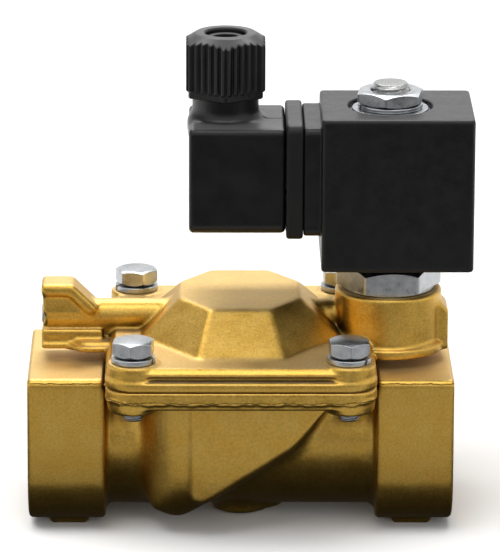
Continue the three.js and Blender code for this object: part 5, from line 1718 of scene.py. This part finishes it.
@dataclass
class Studio:
    """Pale floor, white surroundings, one soft light, reflection cards and the camera.

    Attributes:
        ambient: strength of the surroundings as light.
        light_power: the lamp's power, in watts.
        light_place: the lamp's place, in metres.
        light_side: the lamp's side, in metres.
        lens_mm: the camera's focal length.
        aim: what the camera looks at, in metres.
        distance: from there to the camera, in metres.
        camera_turn: degrees round the valve from its front.
        camera_rise: degrees above the level.
        camera_roll: degrees of roll.
    """

    ambient: float = 0.5
    light_power: float = 30.0
    light_place: Triple = (-0.25, -0.2, 1.5)
    light_side: float = 1.6
    lens_mm: float = 323.7
    aim: Triple = (0.000103, 0, 0.06384)
    distance: float = 1.2988
    camera_turn: float = -0.6
    camera_rise: float = 15.981
    camera_roll: float = 0.218

    def build(self) -> None:
        """Adds everything around the valve."""
        self.world()
        self.floor()
        self.light()
        self.camera()
        for card in (
            # A dark card under the valve, seen only in reflections, paints shade into the reflections of
            # its undersides.
            Card("under_shade_card", (0, -0.003, 0.0004), (0.5, 0.126), (0, 0, 0), 0.03),
            Card("near_card", (0, -0.138, 0.0004), (0.9, 0.144), (0, 0, 0), 0.68),
            Card("far_card", (0, -0.5, 0.0004), (1.4, 0.58), (0, 0, 0), 0.04),
            Card("front_card", (0, -0.9, 0.14), (1.6, 0.28), (90, 0, 0), 0.25),
            Card("overhead_card", (0, -0.02, 1.1), (1.2, 0.46), (0, 0, 0), 0.7),
            Card("front_overhead_card", (0, -0.45, 1.1), (1.3, 0.3), (0, 0, 0), 4.4),
            Card("back_card", (0, 0.56, 1.05), (1.3, 0.32), (-28, 0, 0), 7.5),
            Card("right_card", (0.6, 0.35, 0.55), (0.7, 0.9), (0, 90, 0), 0.7),
            Card("left_card", (-0.6, 0.35, 0.55), (0.7, 0.9), (0, 90, 0), 0.4),
        ):
            card.build()

    def world(self) -> None:
        """White where the camera and reflections see it, softer as light."""
        world = bpy.data.worlds.new("surroundings")
        bpy.context.scene.world = world
        tree = blank(world)
        path = put(tree, "ShaderNodeLightPath", {}).outputs
        seen = put(tree, "ShaderNodeMath", {0: path["Is Camera Ray"], 1: path["Is Glossy Ray"]},
                   operation="MAXIMUM")
        seen = put(tree, "ShaderNodeMath", {0: seen.outputs[0], 1: path["Is Transmission Ray"]},
                   operation="MAXIMUM")
        white = put(tree, "ShaderNodeBackground", {"Color": (1, 1, 1, 1), "Strength": 1.0})
        soft = put(tree, "ShaderNodeBackground", {"Color": (1, 1, 1, 1), "Strength": self.ambient})
        mixed = put(tree, "ShaderNodeMixShader",
                    {0: seen.outputs[0], 1: soft.outputs[0], 2: white.outputs[0]})
        put(tree, "ShaderNodeOutputWorld", {"Surface": mixed.outputs[0]})

    def floor(self) -> None:
        """A pale matt floor."""
        obj = plane("floor", (8, 8))
        material = bpy.data.materials.new("floor_paper")
        tree = blank(material)
        spot = put(tree, "ShaderNodeTexCoord", {}).outputs["Object"]
        grain = Finish.noise(tree, spot, 1.2, 4.0)
        tone = Finish.mixed(tree, grain, linear("#F4F4F3"), linear("#F8F8F8"))
        paper = put(tree, "ShaderNodeBsdfDiffuse", {"Color": tone, "Roughness": 1.0})
        put(tree, "ShaderNodeOutputMaterial", {"Surface": paper.outputs[0]})
        obj.data.materials.append(material)

    def light(self) -> None:
        """One large soft light overhead, a little to the front left."""
        lamp = bpy.data.lights.new("soft_light", "AREA")
        lamp.shape = "RECTANGLE"
        lamp.size, lamp.size_y = self.light_side, self.light_side
        lamp.energy = self.light_power
        obj = bpy.data.objects.new("soft_light", lamp)
        bpy.context.scene.collection.objects.link(obj)
        obj.location = self.light_place
        obj.rotation_euler = Vector(self.light_place).to_track_quat("Z", "Y").to_euler()
        obj.visible_glossy = False

    def camera(self) -> None:
        """The view that the valve is judged from."""
        lens = bpy.data.cameras.new("camera")
        lens.lens = self.lens_mm
        lens.sensor_width = 36
        lens.clip_start = 0.05
        obj = bpy.data.objects.new("camera", lens)
        bpy.context.scene.collection.objects.link(obj)
        aim = Vector(self.aim)
        turn, rise = math.radians(self.camera_turn), math.radians(self.camera_rise)
        back = Vector((math.sin(turn) * math.cos(rise), -math.cos(turn) * math.cos(rise), math.sin(rise)))
        roll = Matrix.Rotation(math.radians(self.camera_roll), 3, "Z")
        facing = back.to_track_quat("Z", "Y").to_matrix() @ roll
        obj.matrix_world = Matrix.LocRotScale(aim + back * self.distance, facing, None)
        bpy.context.scene.camera = obj
        bpy.context.scene.view_settings.view_transform = "Standard"


def main() -> None:
    """Builds the valve's looks and the studio round it."""
    logging.basicConfig(level=logging.INFO, format="%(name)s: %(message)s")
    assemblies = (CastBody(), Bonnet(), FlangeFasteners(), MainValve(), Armature(), Coil(), Plug(),
                  Studio())
    for assembly in assemblies:
        LOG.info("building %s", type(assembly).__name__)
        assembly.build()


if __name__ == "__main__":
    main()
